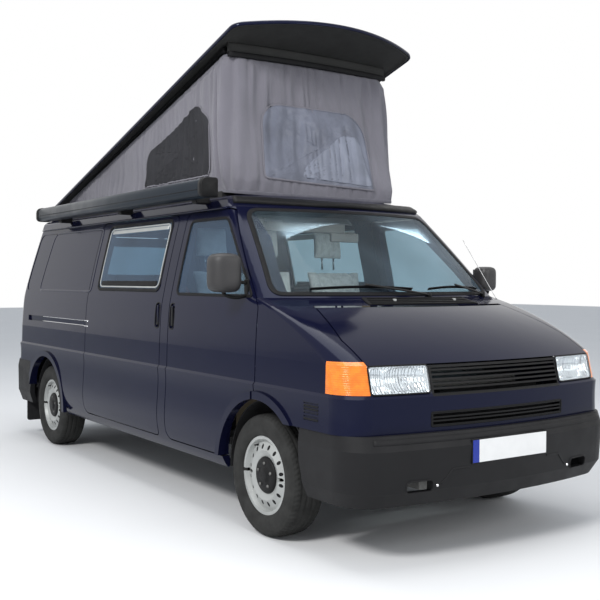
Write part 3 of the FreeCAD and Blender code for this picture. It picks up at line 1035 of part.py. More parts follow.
def trim():
    """Door mirrors on two arms, the two wipers and the aerial on the left wing."""
    arms = [slab(DOOR_FRONT - 130, DOOR_FRONT - 100, 840, 1000, z, z + 14) for z in (1200, 1240)]
    post = slab(DOOR_FRONT - 130, DOOR_FRONT - 100, 960, 1000, 1200, 1330)
    housing = [(DOOR_FRONT - 150, 940, 35), (DOOR_FRONT - 60, 940, 30), (DOOR_FRONT - 80, 1110, 35),
               (DOOR_FRONT - 160, 1120, 30)]
    shell = prism_z(housing, 1292, 1500)
    pair("mirror", solids(shell.multiFuse([*arms, post]).cut(OUTER)))
    wiper_z = s.belt_z
    wipers = []
    for y0, y1 in ((120, 640), (-520, 40)):
        x = FRONT_AXLE + s.cowl_reach - 8
        blade = Part.makeCylinder(8, y1 - y0, Vector(x + 26, y0, wiper_z + 12), Y_AXIS)
        pivot = Part.makeCylinder(16, 40, Vector(x + 30, y0 + 6, wiper_z - 26), Z_AXIS)
        wipers.append(blade.fuse(pivot).cut(OUTER))
    base = Vector(FRONT_AXLE + 60, UPPER - 78, s.belt_z - 60)
    aerial = Part.makeCylinder(4, 560, base, Vector(-0.62, 0, 0.78))
    foot = Part.makeCone(22, 10, 40, base - Vector(-0.62, 0, 0.78) * 6, Vector(-0.62, 0, 0.78))
    pieces = [*wipers, aerial.fuse(foot).cut(OUTER)]
    feature("wipers_and_aerial", solids(Part.Compound([x for q in pieces for x in q.Solids])))


machinery()
cabin(steering())
trim()

doc.recompute()
for obj in doc.Objects:
    if "Invalid" in obj.State or "Error" in obj.State:
        raise SystemExit(f"{obj.Label} did not recompute: {obj.State}")
os.makedirs("parts", exist_ok=True)
for obj in parts:
    shape = obj.Shape
    if not shape.Solids or not shape.isValid():
        raise SystemExit(f"{obj.Label} has no valid solid")
    shape.exportStep(f"parts/{obj.Label}.step")
    print(f"{obj.Label:24s} {len(shape.Solids):3d} solids {shape.Volume / 1e6:9.2f} litres")
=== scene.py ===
"""Looks of a camper van with a rear-hinged lifting roof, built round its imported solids.

Frame: metres, +X forwards, +Y to the vehicle's left, +Z up, ground at z = 0, lifting roof raised.
Each sub-assembly is a class whose fields are its sizes and whose build method adds its pieces.
"""
import logging
import math
from dataclasses import dataclass
from enum import Enum
from functools import lru_cache
from typing import Iterable, Optional, Sequence

import bmesh
import bpy
import numpy as np
from mathutils import Matrix, Vector
from mathutils.bvhtree import BVHTree


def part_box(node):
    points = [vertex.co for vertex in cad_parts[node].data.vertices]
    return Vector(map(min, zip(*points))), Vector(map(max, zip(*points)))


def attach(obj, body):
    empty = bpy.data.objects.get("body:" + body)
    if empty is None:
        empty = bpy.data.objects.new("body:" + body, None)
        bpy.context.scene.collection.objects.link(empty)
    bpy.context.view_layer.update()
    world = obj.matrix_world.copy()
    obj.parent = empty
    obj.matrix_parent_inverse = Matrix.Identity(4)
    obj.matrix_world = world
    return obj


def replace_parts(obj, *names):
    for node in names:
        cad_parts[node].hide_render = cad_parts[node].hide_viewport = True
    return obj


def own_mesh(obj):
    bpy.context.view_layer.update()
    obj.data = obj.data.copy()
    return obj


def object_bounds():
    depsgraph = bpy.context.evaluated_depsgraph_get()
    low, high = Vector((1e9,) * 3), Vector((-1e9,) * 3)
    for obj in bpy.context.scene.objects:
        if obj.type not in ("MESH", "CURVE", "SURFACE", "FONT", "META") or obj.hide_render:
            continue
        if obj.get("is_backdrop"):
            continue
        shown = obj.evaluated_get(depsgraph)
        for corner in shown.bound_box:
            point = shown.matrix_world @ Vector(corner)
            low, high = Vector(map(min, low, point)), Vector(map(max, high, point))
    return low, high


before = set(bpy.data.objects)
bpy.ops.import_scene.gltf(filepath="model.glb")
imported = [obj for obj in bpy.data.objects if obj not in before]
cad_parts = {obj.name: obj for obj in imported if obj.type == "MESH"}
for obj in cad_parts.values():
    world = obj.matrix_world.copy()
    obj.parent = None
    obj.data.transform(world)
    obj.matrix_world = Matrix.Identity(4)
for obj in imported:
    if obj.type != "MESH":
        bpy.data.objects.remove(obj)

Array = np.ndarray
Colour = tuple[float, float, float]
log = logging.getLogger("camper")

FRONT_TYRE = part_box("tyre_front_left")
REAR_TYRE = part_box("tyre_rear_left")
FRONT_AXLE = 0.5 * (FRONT_TYRE[0][0] + FRONT_TYRE[1][0])
REAR_AXLE = 0.5 * (REAR_TYRE[0][0] + REAR_TYRE[1][0])
BELT = 1.262
GUTTER = 1.79
ROOF = 1.905
SEED = 7


# ---------------------------------------------------------------- finishes
class Bump(Enum):
    """What raises a finish's fine relief."""

    NONE = "none"
    GRAIN = "grain"
    WEAVE = "weave"
    FLUTES = "flutes"
    RIBS = "ribs"


class NodeTree:
    """A short way to wire a material's nodes."""

    def __init__(self, material: bpy.types.Material) -> None:
        """Clears the tree and adds its output.

        Args:
            material: the material to wire.
        """
        material.use_nodes = True
        self.tree = material.node_tree
        self.tree.nodes.clear()
        self.output = self.tree.nodes.new("ShaderNodeOutputMaterial")
        self.place = self.add("TexCoord").outputs["Object"]

    def add(self, kind: str, **settings: object) -> bpy.types.Node:
        """Adds a node of a kind and sets its properties and sockets.

        Args:
            kind: the node's type without its ShaderNode prefix.
            settings: properties, or input sockets by name with _ for a space.

        Returns:
            The node.
        """
        node = self.tree.nodes.new("ShaderNode" + kind)
        for name, value in settings.items():
            socket = name.replace("_", " ")
            if socket in node.inputs:
                self.feed(node.inputs[socket], value)
            else:
                setattr(node, name, value)
        return node

    def feed(self, socket: bpy.types.NodeSocket, value: object) -> None:
        """Links a socket to an output, or sets its value."""
        if isinstance(value, bpy.types.NodeSocket):
            self.tree.links.new(value, socket)
        else:
            socket.default_value = value

    def noise(self, scale: float, detail: float = 3.0, stretch: Colour = (1, 1, 1)) -> bpy.types.NodeSocket:
        """Noise of the object's own coordinates.

        Args:
            scale: lumps to the metre.
            detail: octaves.
            stretch: scale along each axis.

        Returns:
            The noise's value.
        """
        where = self.add("Mapping", Vector=self.place, Scale=stretch).outputs[0]
        return self.add("TexNoise", Vector=where, Scale=scale, Detail=detail).outputs[0]

    def spread(self, value: bpy.types.NodeSocket, low: float, high: float) -> bpy.types.NodeSocket:
        """Carries a value of 0.3 to 0.7 to low to high."""
        return self.add("MapRange", Value=value, From_Min=0.3, From_Max=0.7, To_Min=low,
                        To_Max=high).outputs[0]

    def blend(self, factor: object, first: object, second: object) -> bpy.types.NodeSocket:
        """A colour between two by a factor."""
        node = self.add("Mix", data_type="RGBA")
        for index, value in ((0, factor), (6, first), (7, second)):
            self.feed(node.inputs[index], value)
        return node.outputs[2]

    def waves(self, scale: float, direction: str, sharp: float = 0.0) -> bpy.types.NodeSocket:
        """Parallel ridges across one axis."""
        return self.add("TexWave", Vector=self.place, Scale=scale, bands_direction=direction,
                        Distortion=sharp, Detail=1.0).outputs[1]


def tone(colour: Colour, gain: float) -> tuple[float, float, float, float]:
    """A colour made lighter or darker, with its alpha."""
    return (min(1.0, colour[0] * gain), min(1.0, colour[1] * gain), min(1.0, colour[2] * gain), 1.0)


@dataclass(frozen=True)
class Finish:
    """An opaque finish: mottled colour, uneven roughness and fine relief.

    Formula: the colour runs between darker and lighter tones by soft noise, the roughness by finer noise, and
    the relief is grain, weave or flutes at its own scale.
    """

    name: str
    colour: Colour
    roughness: float = 0.5
    metallic: float = 0.0
    coat: float = 0.0
    sheen: float = 0.0
    mottle: float = 0.10
    mottle_scale: float = 5.0
    uneven: float = 0.06
    bump: Bump = Bump.GRAIN
    bump_scale: float = 900.0
    bump_depth: float = 0.0004
    specular: float = 0.16
    reflection_tint: Colour = (1.0, 1.0, 1.0)

    def relief(self, tree: NodeTree) -> Optional[bpy.types.NodeSocket]:
        """The height that the finish's relief follows."""
        if self.bump is Bump.GRAIN:
            return tree.noise(self.bump_scale, 4.0)
        if self.bump is Bump.WEAVE:
            node = tree.add("Math", operation="MAXIMUM")
            tree.feed(node.inputs[0], tree.waves(self.bump_scale, "Z"))
            tree.feed(node.inputs[1], tree.waves(self.bump_scale, "DIAGONAL"))
            return node.outputs[0]
        if self.bump is Bump.FLUTES:
            return tree.waves(self.bump_scale, "Y")
        if self.bump is Bump.RIBS:
            return tree.waves(self.bump_scale, "Z")
        return None

    def shade(self, tree: NodeTree) -> bpy.types.Node:
        """Wires colour, roughness and relief into one shader."""
        colour = tree.blend(tree.spread(tree.noise(self.mottle_scale), 0, 1),
                            tone(self.colour, 1 - self.mottle),
                            tone(self.colour, 1 + self.mottle))
        rough = tree.spread(tree.noise(self.mottle_scale * 3.3, 5.0),
                            max(0.02, self.roughness - self.uneven),
                            min(1.0, self.roughness + self.uneven))
        shader = tree.add("BsdfPrincipled", Base_Color=colour, Roughness=rough)
        for socket, value in (("Metallic", self.metallic), ("Coat Weight", self.coat),
                              ("Coat Roughness", 0.04),
                              ("Sheen Weight", self.sheen), ("Specular IOR Level", self.specular),
                              ("Specular Tint", tone(self.reflection_tint, 1.0))):
            shader.inputs[socket].default_value = value
        height = self.relief(tree)
        if height is not None:
            bump = tree.add("Bump", Height=height, Distance=self.bump_depth)
            bump.inputs["Strength"].default_value = 1.0
            tree.feed(shader.inputs["Normal"], bump.outputs[0])
        return shader

    @lru_cache(maxsize=None)
    def material(self) -> bpy.types.Material:
        """The finish's material, made once."""
        material = bpy.data.materials.new(self.name)
        tree = NodeTree(material)
        tree.feed(tree.output.inputs[0], self.shade(tree).outputs[0])
        return material


@dataclass(frozen=True)
class Pane(Finish):
    """Tinted see-through glass or film: a clear shader under a glossy one, mixed by the slant of view."""

    tint: Colour = (0.62, 0.72, 0.74)
    veil: float = 0.06
    specular: float = 0.5

    @lru_cache(maxsize=None)
    def material(self) -> bpy.types.Material:
        """The pane's material, made once."""
        material = bpy.data.materials.new(self.name)
        tree = NodeTree(material)
        clear = tree.add("BsdfTransparent")
        tree.feed(clear.inputs[0], tree.blend(tree.spread(tree.noise(2.0), 0, 1), tone(self.tint, 0.97),
                                              tone(self.tint, 1.03)))
        gloss = self.shade(tree)
        slant = tree.add("Fresnel", IOR=1.5).outputs[0]
        share = tree.add("Math", operation="ADD", use_clamp=True)
        tree.feed(share.inputs[0], slant)
        share.inputs[1].default_value = self.veil
        outer = tree.add("Math", operation="SUBTRACT")
        outer.inputs[0].default_value = 1.0
        tree.feed(outer.inputs[1], tree.add("NewGeometry").outputs["Backfacing"])
        outside = tree.add("Math", operation="MULTIPLY")
        tree.feed(outside.inputs[0], share.outputs[0])
        tree.feed(outside.inputs[1], outer.outputs[0])
        mix = tree.add("MixShader")
        for index, value in ((0, outside.outputs[0]), (1, clear.outputs[0]), (2, gloss.outputs[0])):
            tree.feed(mix.inputs[index], value)
        tree.feed(tree.output.inputs[0], mix.outputs[0])
        return material


# The paint's specular tint (0.62, 0.72, 1.0) turns its reflections blue: a painted sky reflection.
PAINT = Finish("navy_paint", (0.0048, 0.0056, 0.020), 0.13, coat=0.08, mottle=0.06, mottle_scale=1.2,
               uneven=0.03,
               bump_scale=260.0, bump_depth=0.00003, specular=0.13, reflection_tint=(0.62, 0.72, 1.0))
RUBBER = Finish("tyre_rubber", (0.028, 0.028, 0.027), 0.78, mottle=0.25, mottle_scale=14.0,
                bump_scale=420.0,
                bump_depth=0.0006)
SEAL = Finish("window_rubber", (0.006, 0.006, 0.007), 0.6, bump_scale=700.0)
BUMPER = Finish("grained_bumper", (0.011, 0.011, 0.012), 0.5, mottle=0.12, mottle_scale=3.0,
                bump_scale=1100.0,
                bump_depth=0.0005)
MOULDING = Finish("black_moulding", (0.007, 0.007, 0.0075), 0.45, bump_scale=1000.0)
MIRROR_SHELL = Finish("mirror_housing", (0.030, 0.029, 0.030), 0.42, mottle=0.12, bump_scale=900.0,
                      bump_depth=0.0006,
                      specular=0.4)
SILVER = Finish("silver_steel", (0.40, 0.41, 0.40), 0.42, metallic=0.35, coat=0.1, mottle=0.08,
                mottle_scale=9.0,
                bump_scale=500.0, bump_depth=0.0001)
BRIGHT = Finish("bright_metal", (0.75, 0.75, 0.76), 0.16, metallic=1.0, mottle=0.05, bump=Bump.NONE)
REFLECTOR = Finish("lamp_reflector", (0.88, 0.89, 0.9), 0.12, metallic=1.0, mottle=0.04, bump=Bump.FLUTES,
                   bump_scale=18.0, bump_depth=0.004)
CHASSIS = Finish("underbody_wax", (0.018, 0.018, 0.019), 0.62, mottle=0.3, mottle_scale=7.0,
                 bump_scale=120.0,
                 bump_depth=0.0015)
CAST = Finish("cast_metal", (0.16, 0.16, 0.155), 0.5, metallic=0.8, mottle=0.25, mottle_scale=18.0,
              bump_scale=260.0, bump_depth=0.001)
AWNING = Finish("anthracite_case", (0.020, 0.026, 0.034), 0.4, metallic=0.25, coat=0.1, mottle=0.06,
                mottle_scale=2.0, bump=Bump.GRAIN, bump_scale=600.0, bump_depth=0.00008)
TENT_CLOTH = Finish("tent_cotton", (0.185, 0.178, 0.205), 0.88, sheen=0.25, mottle=0.09, mottle_scale=3.0,
                    bump=Bump.WEAVE, bump_scale=260.0, bump_depth=0.0006)
HEM = Finish("tent_webbing", (0.15, 0.146, 0.172), 0.8, sheen=0.2, mottle=0.1, mottle_scale=20.0,
             bump=Bump.WEAVE,
             bump_scale=420.0, bump_depth=0.0006)
FLYSCREEN = Finish("dark_flyscreen", (0.032, 0.032, 0.036), 0.75, mottle=0.12, mottle_scale=6.0,
                   bump=Bump.WEAVE,
                   bump_scale=520.0, bump_depth=0.0005)
FILM = Finish("window_film", (0.135, 0.145, 0.185), 0.42, coat=0.12, mottle=0.22, mottle_scale=5.0,
              bump=Bump.GRAIN, bump_scale=9.0, bump_depth=0.012, specular=0.3)
# A lighter copy of the window film: a painted highlight for the film's lit lower right.
FILM_PAINTED_HIGHLIGHT = Finish("window_film_painted_highlight", (0.20, 0.215, 0.265), 0.38, coat=0.12, mottle=0.16, mottle_scale=6.0,
                    bump=Bump.GRAIN, bump_scale=7.0, bump_depth=0.010)
SEAT_CLOTH = Finish("seat_cloth", (0.42, 0.44, 0.44), 0.92, sheen=0.3, mottle=0.18, mottle_scale=30.0,
                    bump=Bump.WEAVE, bump_scale=340.0, bump_depth=0.0008)
BENCH_CLOTH = Finish("bench_cloth", (0.12, 0.13, 0.15), 0.92, sheen=0.3, mottle=0.2, mottle_scale=26.0,
                     bump=Bump.WEAVE, bump_scale=300.0, bump_depth=0.0008)
DASH = Finish("dashboard_moulding", (0.075, 0.08, 0.085), 0.62, bump_scale=800.0)
SHELL_LINING = Finish("dark_lining", (0.036, 0.036, 0.035), 0.8, mottle=0.12, bump_scale=380.0)
BOARD = Finish("cupboard_board", (0.3, 0.24, 0.17), 0.5, mottle=0.16, mottle_scale=4.0, bump_scale=90.0)
PLATE = Finish("plate_white", (0.8, 0.8, 0.79), 0.35, coat=0.4, mottle=0.03, mottle_scale=12.0,
               bump_scale=500.0,
               bump_depth=0.00005)
PLATE_BAND = Finish("plate_band", (0.01, 0.03, 0.3), 0.35, coat=0.4, mottle=0.05, bump=Bump.NONE)
GLASS = Pane("window_glass", (0.10, 0.17, 0.27), 0.05, uneven=0.03, bump=Bump.NONE, mottle=0.25,
             mottle_scale=2.2, tint=(0.55, 0.66, 0.72), veil=0.22)
SCREEN_GLASS = Pane("screen_glass", (0.16, 0.22, 0.26), 0.05, uneven=0.03, bump=Bump.NONE, mottle=0.5,
                    mottle_scale=2.6, tint=(0.90, 0.95, 0.95), veil=0.10)
LENS = Pane("clear_lens", (0.9, 0.92, 0.94), 0.06, uneven=0.02, bump=Bump.NONE, mottle=0.03,
            tint=(0.93, 0.95, 0.96), veil=0.08)
AMBER = Finish("amber_lens", (0.86, 0.20, 0.008), 0.14, coat=1.0, mottle=0.2, mottle_scale=24.0,
               bump=Bump.RIBS,
               bump_scale=30.0, bump_depth=0.0012)
RED = Finish("red_lens", (0.42, 0.012, 0.012), 0.14, coat=1.0, mottle=0.15, mottle_scale=20.0,
             bump=Bump.RIBS,
             bump_scale=34.0, bump_depth=0.001)
FLOOR = Finish("studio_floor", (0.8, 0.8, 0.8), 0.85, mottle=0.01, mottle_scale=0.6, bump_scale=40.0,
               bump_depth=0.0002, specular=0.1)


# ---------------------------------------------------------------- surfaces
def add_mesh(name: str, points: Array, faces: Array, finish: Finish, body: str, smooth: bool = True,
             weld: float = 0.0) -> bpy.types.Object:
    """Makes a mesh object from whole arrays, dresses it and lets it ride on a body.

    Args:
        name: the piece's name.
        points: (n, 3) vertices in the row frame.
        faces: (m, 4) or (m, 3) vertex indices.
        finish: its finish.
        body: the body that it moves with.
        smooth: smooth shading.
        weld: distance under which vertices merge, after which the faces are turned outwards; 0 for neither.

    Returns:
        The object, at the origin.
    """
    mesh = bpy.data.meshes.new(name)
    mesh.from_pydata(np.asarray(points, float).tolist(), [], np.asarray(faces, int).tolist())
    if weld:
        work = bmesh.new()
        work.from_mesh(mesh)
        bmesh.ops.remove_doubles(work, verts=work.verts, dist=weld)
        bmesh.ops.dissolve_degenerate(work, edges=work.edges, dist=weld)
        bmesh.ops.recalc_face_normals(work, faces=work.faces)
        work.to_mesh(mesh)
        work.free()
    mesh.polygons.foreach_set("use_smooth", np.full(len(mesh.polygons), smooth))
    mesh.materials.append(finish.material())
    piece = bpy.data.objects.new(name, mesh)
    bpy.context.scene.collection.objects.link(piece)
    if body:
        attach(piece, body)
    log.info("%s: %d faces", name, len(mesh.polygons))
    return piece


def grid_faces(rows: int, columns: int, wrap_rows: bool = False, wrap_columns: bool = False) -> Array:
    """Quads of a grid of vertices.

    Args:
        rows: vertices down.
        columns: vertices across.
        wrap_rows: joins the last row to the first.
        wrap_columns: joins the last column to the first.

    Returns:
        (m, 4) indices into the flattened grid.
    """
    down = np.arange(rows if wrap_rows else rows - 1)
    along = np.arange(columns if wrap_columns else columns - 1)
    i, j = np.meshgrid(down, along, indexing="ij")
    below, right = (i + 1) % rows, (j + 1) % columns
    return np.stack([i * columns + j, i * columns + right, below * columns + right, below * columns + j],
                    axis=-1).reshape(-1, 4)


def surface(name: str, grid: Array, finish: Finish, body: str, wrap_rows: bool = False,
            wrap_columns: bool = False, weld: float = 1e-5, smooth: bool = True) -> bpy.types.Object:
    """A piece from an (n, m, 3) grid of points."""
    rows, columns = grid.shape[:2]
    return add_mesh(name, grid.reshape(-1, 3), grid_faces(rows, columns, wrap_rows, wrap_columns), finish,
                    body,
                    smooth, weld)


def join(name: str, parts: Sequence[bpy.types.Object]) -> bpy.types.Object:
    """Joins pieces of one finish and body into one object.

    Args:
        name: the joined piece's name.
        parts: the pieces, of which the first is kept.

    Returns:
        The joined object.
    """
    bpy.ops.object.select_all(action="DESELECT")
    for part in parts:
        part.select_set(True)
    bpy.context.view_layer.objects.active = parts[0]
    bpy.ops.object.join()
    parts[0].name = name
    return parts[0]


def lathe_grid(profile: Sequence[tuple[float, float]], centre: Sequence[float], steps: int = 96,
               axis: str = "y", side: float = 1.0) -> Array:
    """Points of a surface of revolution.

    Formula: each (radius, along) pair of the profile turns about an axis through the centre, and along counts
    outwards by side.

    Args:
        profile: (radius, along) pairs.
        centre: a point of the axis.
        steps: columns round the axis.
        axis: x, y or z.
        side: 1 or -1, the way in which along counts.

    Returns:
        (len(profile), steps, 3) points; the columns wrap.
    """
    radius, along = np.array(profile, float).T
    turn = 2 * np.pi * np.arange(steps) / steps
    flat = radius[:, None] * np.cos(turn), radius[:, None] * np.sin(turn)
    height = np.broadcast_to(side * along[:, None], flat[0].shape)
    order = {"x": (height, *flat), "y": (flat[0], height, flat[1]), "z": (*flat, height)}[axis]
    return np.stack(order, axis=-1) + np.array(centre, float)


def lathe(name: str, profile: Sequence[tuple[float, float]], centre: Sequence[float], finish: Finish,
          body: str,
          steps: int = 64, axis: str = "y", side: float = 1.0) -> bpy.types.Object:
    """A closed piece of revolution whose profile starts and ends on the axis."""
    return surface(name, lathe_grid(profile, centre, steps, axis, side), finish, body, wrap_columns=True)


def path_frames(path: Array, up: Array, closed: bool) -> tuple[Array, Array]:
    """Sideways and upright unit vectors along a path.

    Formula: the side is the tangent crossed with up, and the upright is the side crossed with the tangent.
    """
    if closed:
        tangent = np.roll(path, -1, axis=0) - np.roll(path, 1, axis=0)
    else:
        tangent = np.gradient(path, axis=0)
    tangent /= np.linalg.norm(tangent, axis=1, keepdims=True) + 1e-12
    side = np.cross(tangent, np.broadcast_to(up, path.shape))
    side /= np.linalg.norm(side, axis=1, keepdims=True) + 1e-12
    return side, np.cross(side, tangent)


def sweep(name: str, section: Array, path: Array, up: Array, finish: Finish, body: str,
          closed: bool = False,
          smooth: bool = True) -> bpy.types.Object:
    """A closed section carried along a path, with its ends closed.

    Formula: point = path + a * side + b * upright for each (a, b) of the section.

    Args:
        name: the piece's name.
        section: (k, 2) corners of the section.
        path: (n, 3) points.
        up: a direction, or one to each point, away from the path.
        finish: its finish.
        body: its body.
        closed: joins the path's end to its start.
        smooth: smooth shading.

    Returns:
        The object.
    """
    path = np.asarray(path, float)
    side, upright = path_frames(path, np.asarray(up, float), closed)
    a, b = np.asarray(section, float).T
    grid = path[:, None] + a[None, :, None] * side[:, None] + b[None, :, None] * upright[:, None]
    if not closed:
        ends = [np.repeat(g.mean(axis=0)[None], len(a), axis=0)[None] for g in (grid[0], grid[-1])]
        grid = np.concatenate([ends[0], grid, ends[1]])
    return surface(name, grid, finish, body, wrap_rows=closed, wrap_columns=True, smooth=smooth)


def ring_section(width: float, height: float, steps: int = 12, power: float = 4.0) -> Array:
    """A rounded rectangle as a superellipse of given width and height."""
    turn = 2 * np.pi * (np.arange(steps) + 0.5) / steps
    c, s = np.cos(turn), np.sin(turn)
    return np.stack([0.5 * width * np.sign(c) * np.abs(c) ** (2 / power),
                     0.5 * height * np.sign(s) * np.abs(s) ** (2 / power)], axis=1)


def tube(name: str, path: Iterable[Sequence[float]], radius: float, finish: Finish, body: str,
         up: Sequence[float] = (0.13, 0.29, 1.0), closed: bool = False,
         steps: int = 12) -> bpy.types.Object:
    """A round tube along a path."""
    return sweep(name, ring_section(2 * radius, 2 * radius, steps, 2.0), np.array(list(path), float),
                 np.array(up, float), finish, body, closed)


def curve(points: Sequence[Sequence[float]], steps: int = 24) -> Array:
    """A smooth line through a few points: cubic interpolation with tangents from each point's neighbours."""
    p = np.array(points, float)
    tangent = np.gradient(p, axis=0)
    t = np.linspace(0, len(p) - 1 - 1e-9, steps)
    i = t.astype(int)
    f = (t - i)[:, None]
    return ((2 * f**3 - 3 * f**2 + 1) * p[i] + (f**3 - 2 * f**2 + f) * tangent[i]
            + (3 * f**2 - 2 * f**3) * p[i + 1] + (f**3 - f**2) * tangent[i + 1])


def rounded_box(name: str, low: Sequence[float], high: Sequence[float], radius: float, finish: Finish,
                body: str,
                steps: int = 24) -> bpy.types.Object:
    """A box with round edges and corners.

    Formula: each unit vector of a ball's grid is scaled by the radius and moved to the box corner of its octant.
    """
    low, high = np.array(low, float), np.array(high, float)
    radius = min(radius, 0.499 * float((high - low).min()))
    centre, half = 0.5 * (low + high), 0.5 * (high - low) - radius
    lift = np.pi * (np.arange(steps // 2) + 0.5) / (steps // 2) - np.pi / 2
    turn = 2 * np.pi * (np.arange(steps) + 0.5) / steps
    ball = np.stack([np.cos(lift)[:, None] * np.cos(turn), np.cos(lift)[:, None] * np.sin(turn),
                     np.broadcast_to(np.sin(lift)[:, None], (len(lift), steps))], axis=-1)
    grid = centre + np.sign(ball) * half + radius * ball
    caps = [np.broadcast_to(centre + np.array([0, 0, s * (half[2] + radius)]),
                            (1, steps, 3)) for s in (-1, 1)]
    return surface(name, np.concatenate([caps[0], grid, caps[1]]), finish, body, wrap_columns=True,
                   smooth=False)


def pad_grid(half: Sequence[float], crown: float, channels: Sequence[float] = (), power: float = 7.0,
             steps: int = 44) -> tuple[Array, Array]:
    """Upper and lower sheets of a crowned pad about the origin, U by V by W.

    Formula: the height over a square of -1 to 1 is the half thickness times superellipse falls along both
    sides, plus a crown of (1 - u^2)(1 - v^2), less a sewn groove at each channel; the outline bows inwards
    between the corners.

    Args:
        half: half sizes along U, V and W.
        crown: how much the middle swells.
        channels: places of sewn grooves along V, from -1 to 1.
        power: how square the edges are.
        steps: vertices along each side.

    Returns:
        Two (steps, steps, 3) grids that share their rims.
    """
    s = np.sin(0.5 * np.pi * np.linspace(-1, 1, steps))
    u, v = np.meshgrid(s, s, indexing="ij")
    fall = (1 - np.abs(u) ** power) ** 0.42 * (1 - np.abs(v) ** power) ** 0.42
    swell = crown * (1 - u**2) * (1 - v**2)
    groove = sum(0.011 * np.exp(-((v - c) / 0.035) ** 2) for c in channels) if channels else 0.0
    piping = 0.004 * np.exp(-((np.abs(u) - 0.93) / 0.02) ** 2)
    x = half[0] * u * (1 - 0.02 * (1 - v**2))
    y = half[1] * v * (1 - 0.03 * (1 - u**2))
    top = half[2] * fall + swell * fall - groove * fall + piping * fall
    return np.stack([x, y, top], axis=-1), np.stack([x, y, -half[2] * fall - 0.4 * swell * fall], axis=-1)


def pad(name: str, centre: Sequence[float], half: Sequence[float], u_axis: Sequence[float],
        v_axis: Sequence[float], crown: float, finish: Finish, body: str,
        channels: Sequence[float] = ()) -> bpy.types.Object:
    """A stuffed pad whose U and V axes are given, closed at its rim."""
    u, v = np.array(u_axis, float), np.array(v_axis, float)
    u, v = u / np.linalg.norm(u), v / np.linalg.norm(v)
    turn = np.stack([u, v, np.cross(u, v)])
    top, under = pad_grid(half, crown, channels)
    rows, columns = top.shape[:2]
    points = np.concatenate([top.reshape(-1, 3), under.reshape(-1, 3)]) @ turn + np.array(centre, float)
    faces = grid_faces(rows, columns)
    both = np.concatenate([faces, faces[:, ::-1] + rows * columns])
    return add_mesh(name, points, both, finish, body, weld=2e-5)


def outline(corners: Sequence[tuple[float, float, float]], steps: int = 8) -> Array:
    """A closed line with rounded corners.

    Args:
        corners: (a, b, radius) corners in order.
        steps: points to each corner's arc.

    Returns:
        (n, 2) points: at each corner a quadratic arc between its two tangent points, with the straight runs
        filled evenly.
    """
    arcs = []
    for i, (a, b, radius) in enumerate(corners):
        p = np.array([a, b])
        u, v = (np.array(corners[j % len(corners)][:2]) - p for j in (i - 1, i + 1))
        cut = min(radius, 0.45 * np.linalg.norm(u), 0.45 * np.linalg.norm(v))
        first, last = p + u / np.linalg.norm(u) * cut, p + v / np.linalg.norm(v) * cut
        t = np.linspace(0, 1, steps)[:, None]
        arcs.append((1 - t) ** 2 * first + 2 * t * (1 - t) * p + t**2 * last)
    line = np.concatenate(arcs)
    closed = np.vstack([line, line[:1]])
    reach = np.concatenate([[0], np.cumsum(np.linalg.norm(np.diff(closed, axis=0), axis=1))])
    places = np.union1d(np.linspace(0, reach[-1], 80, endpoint=False), reach[:-1])
    return np.stack([np.interp(places, reach, closed[:, k]) for k in (0, 1)], axis=1)


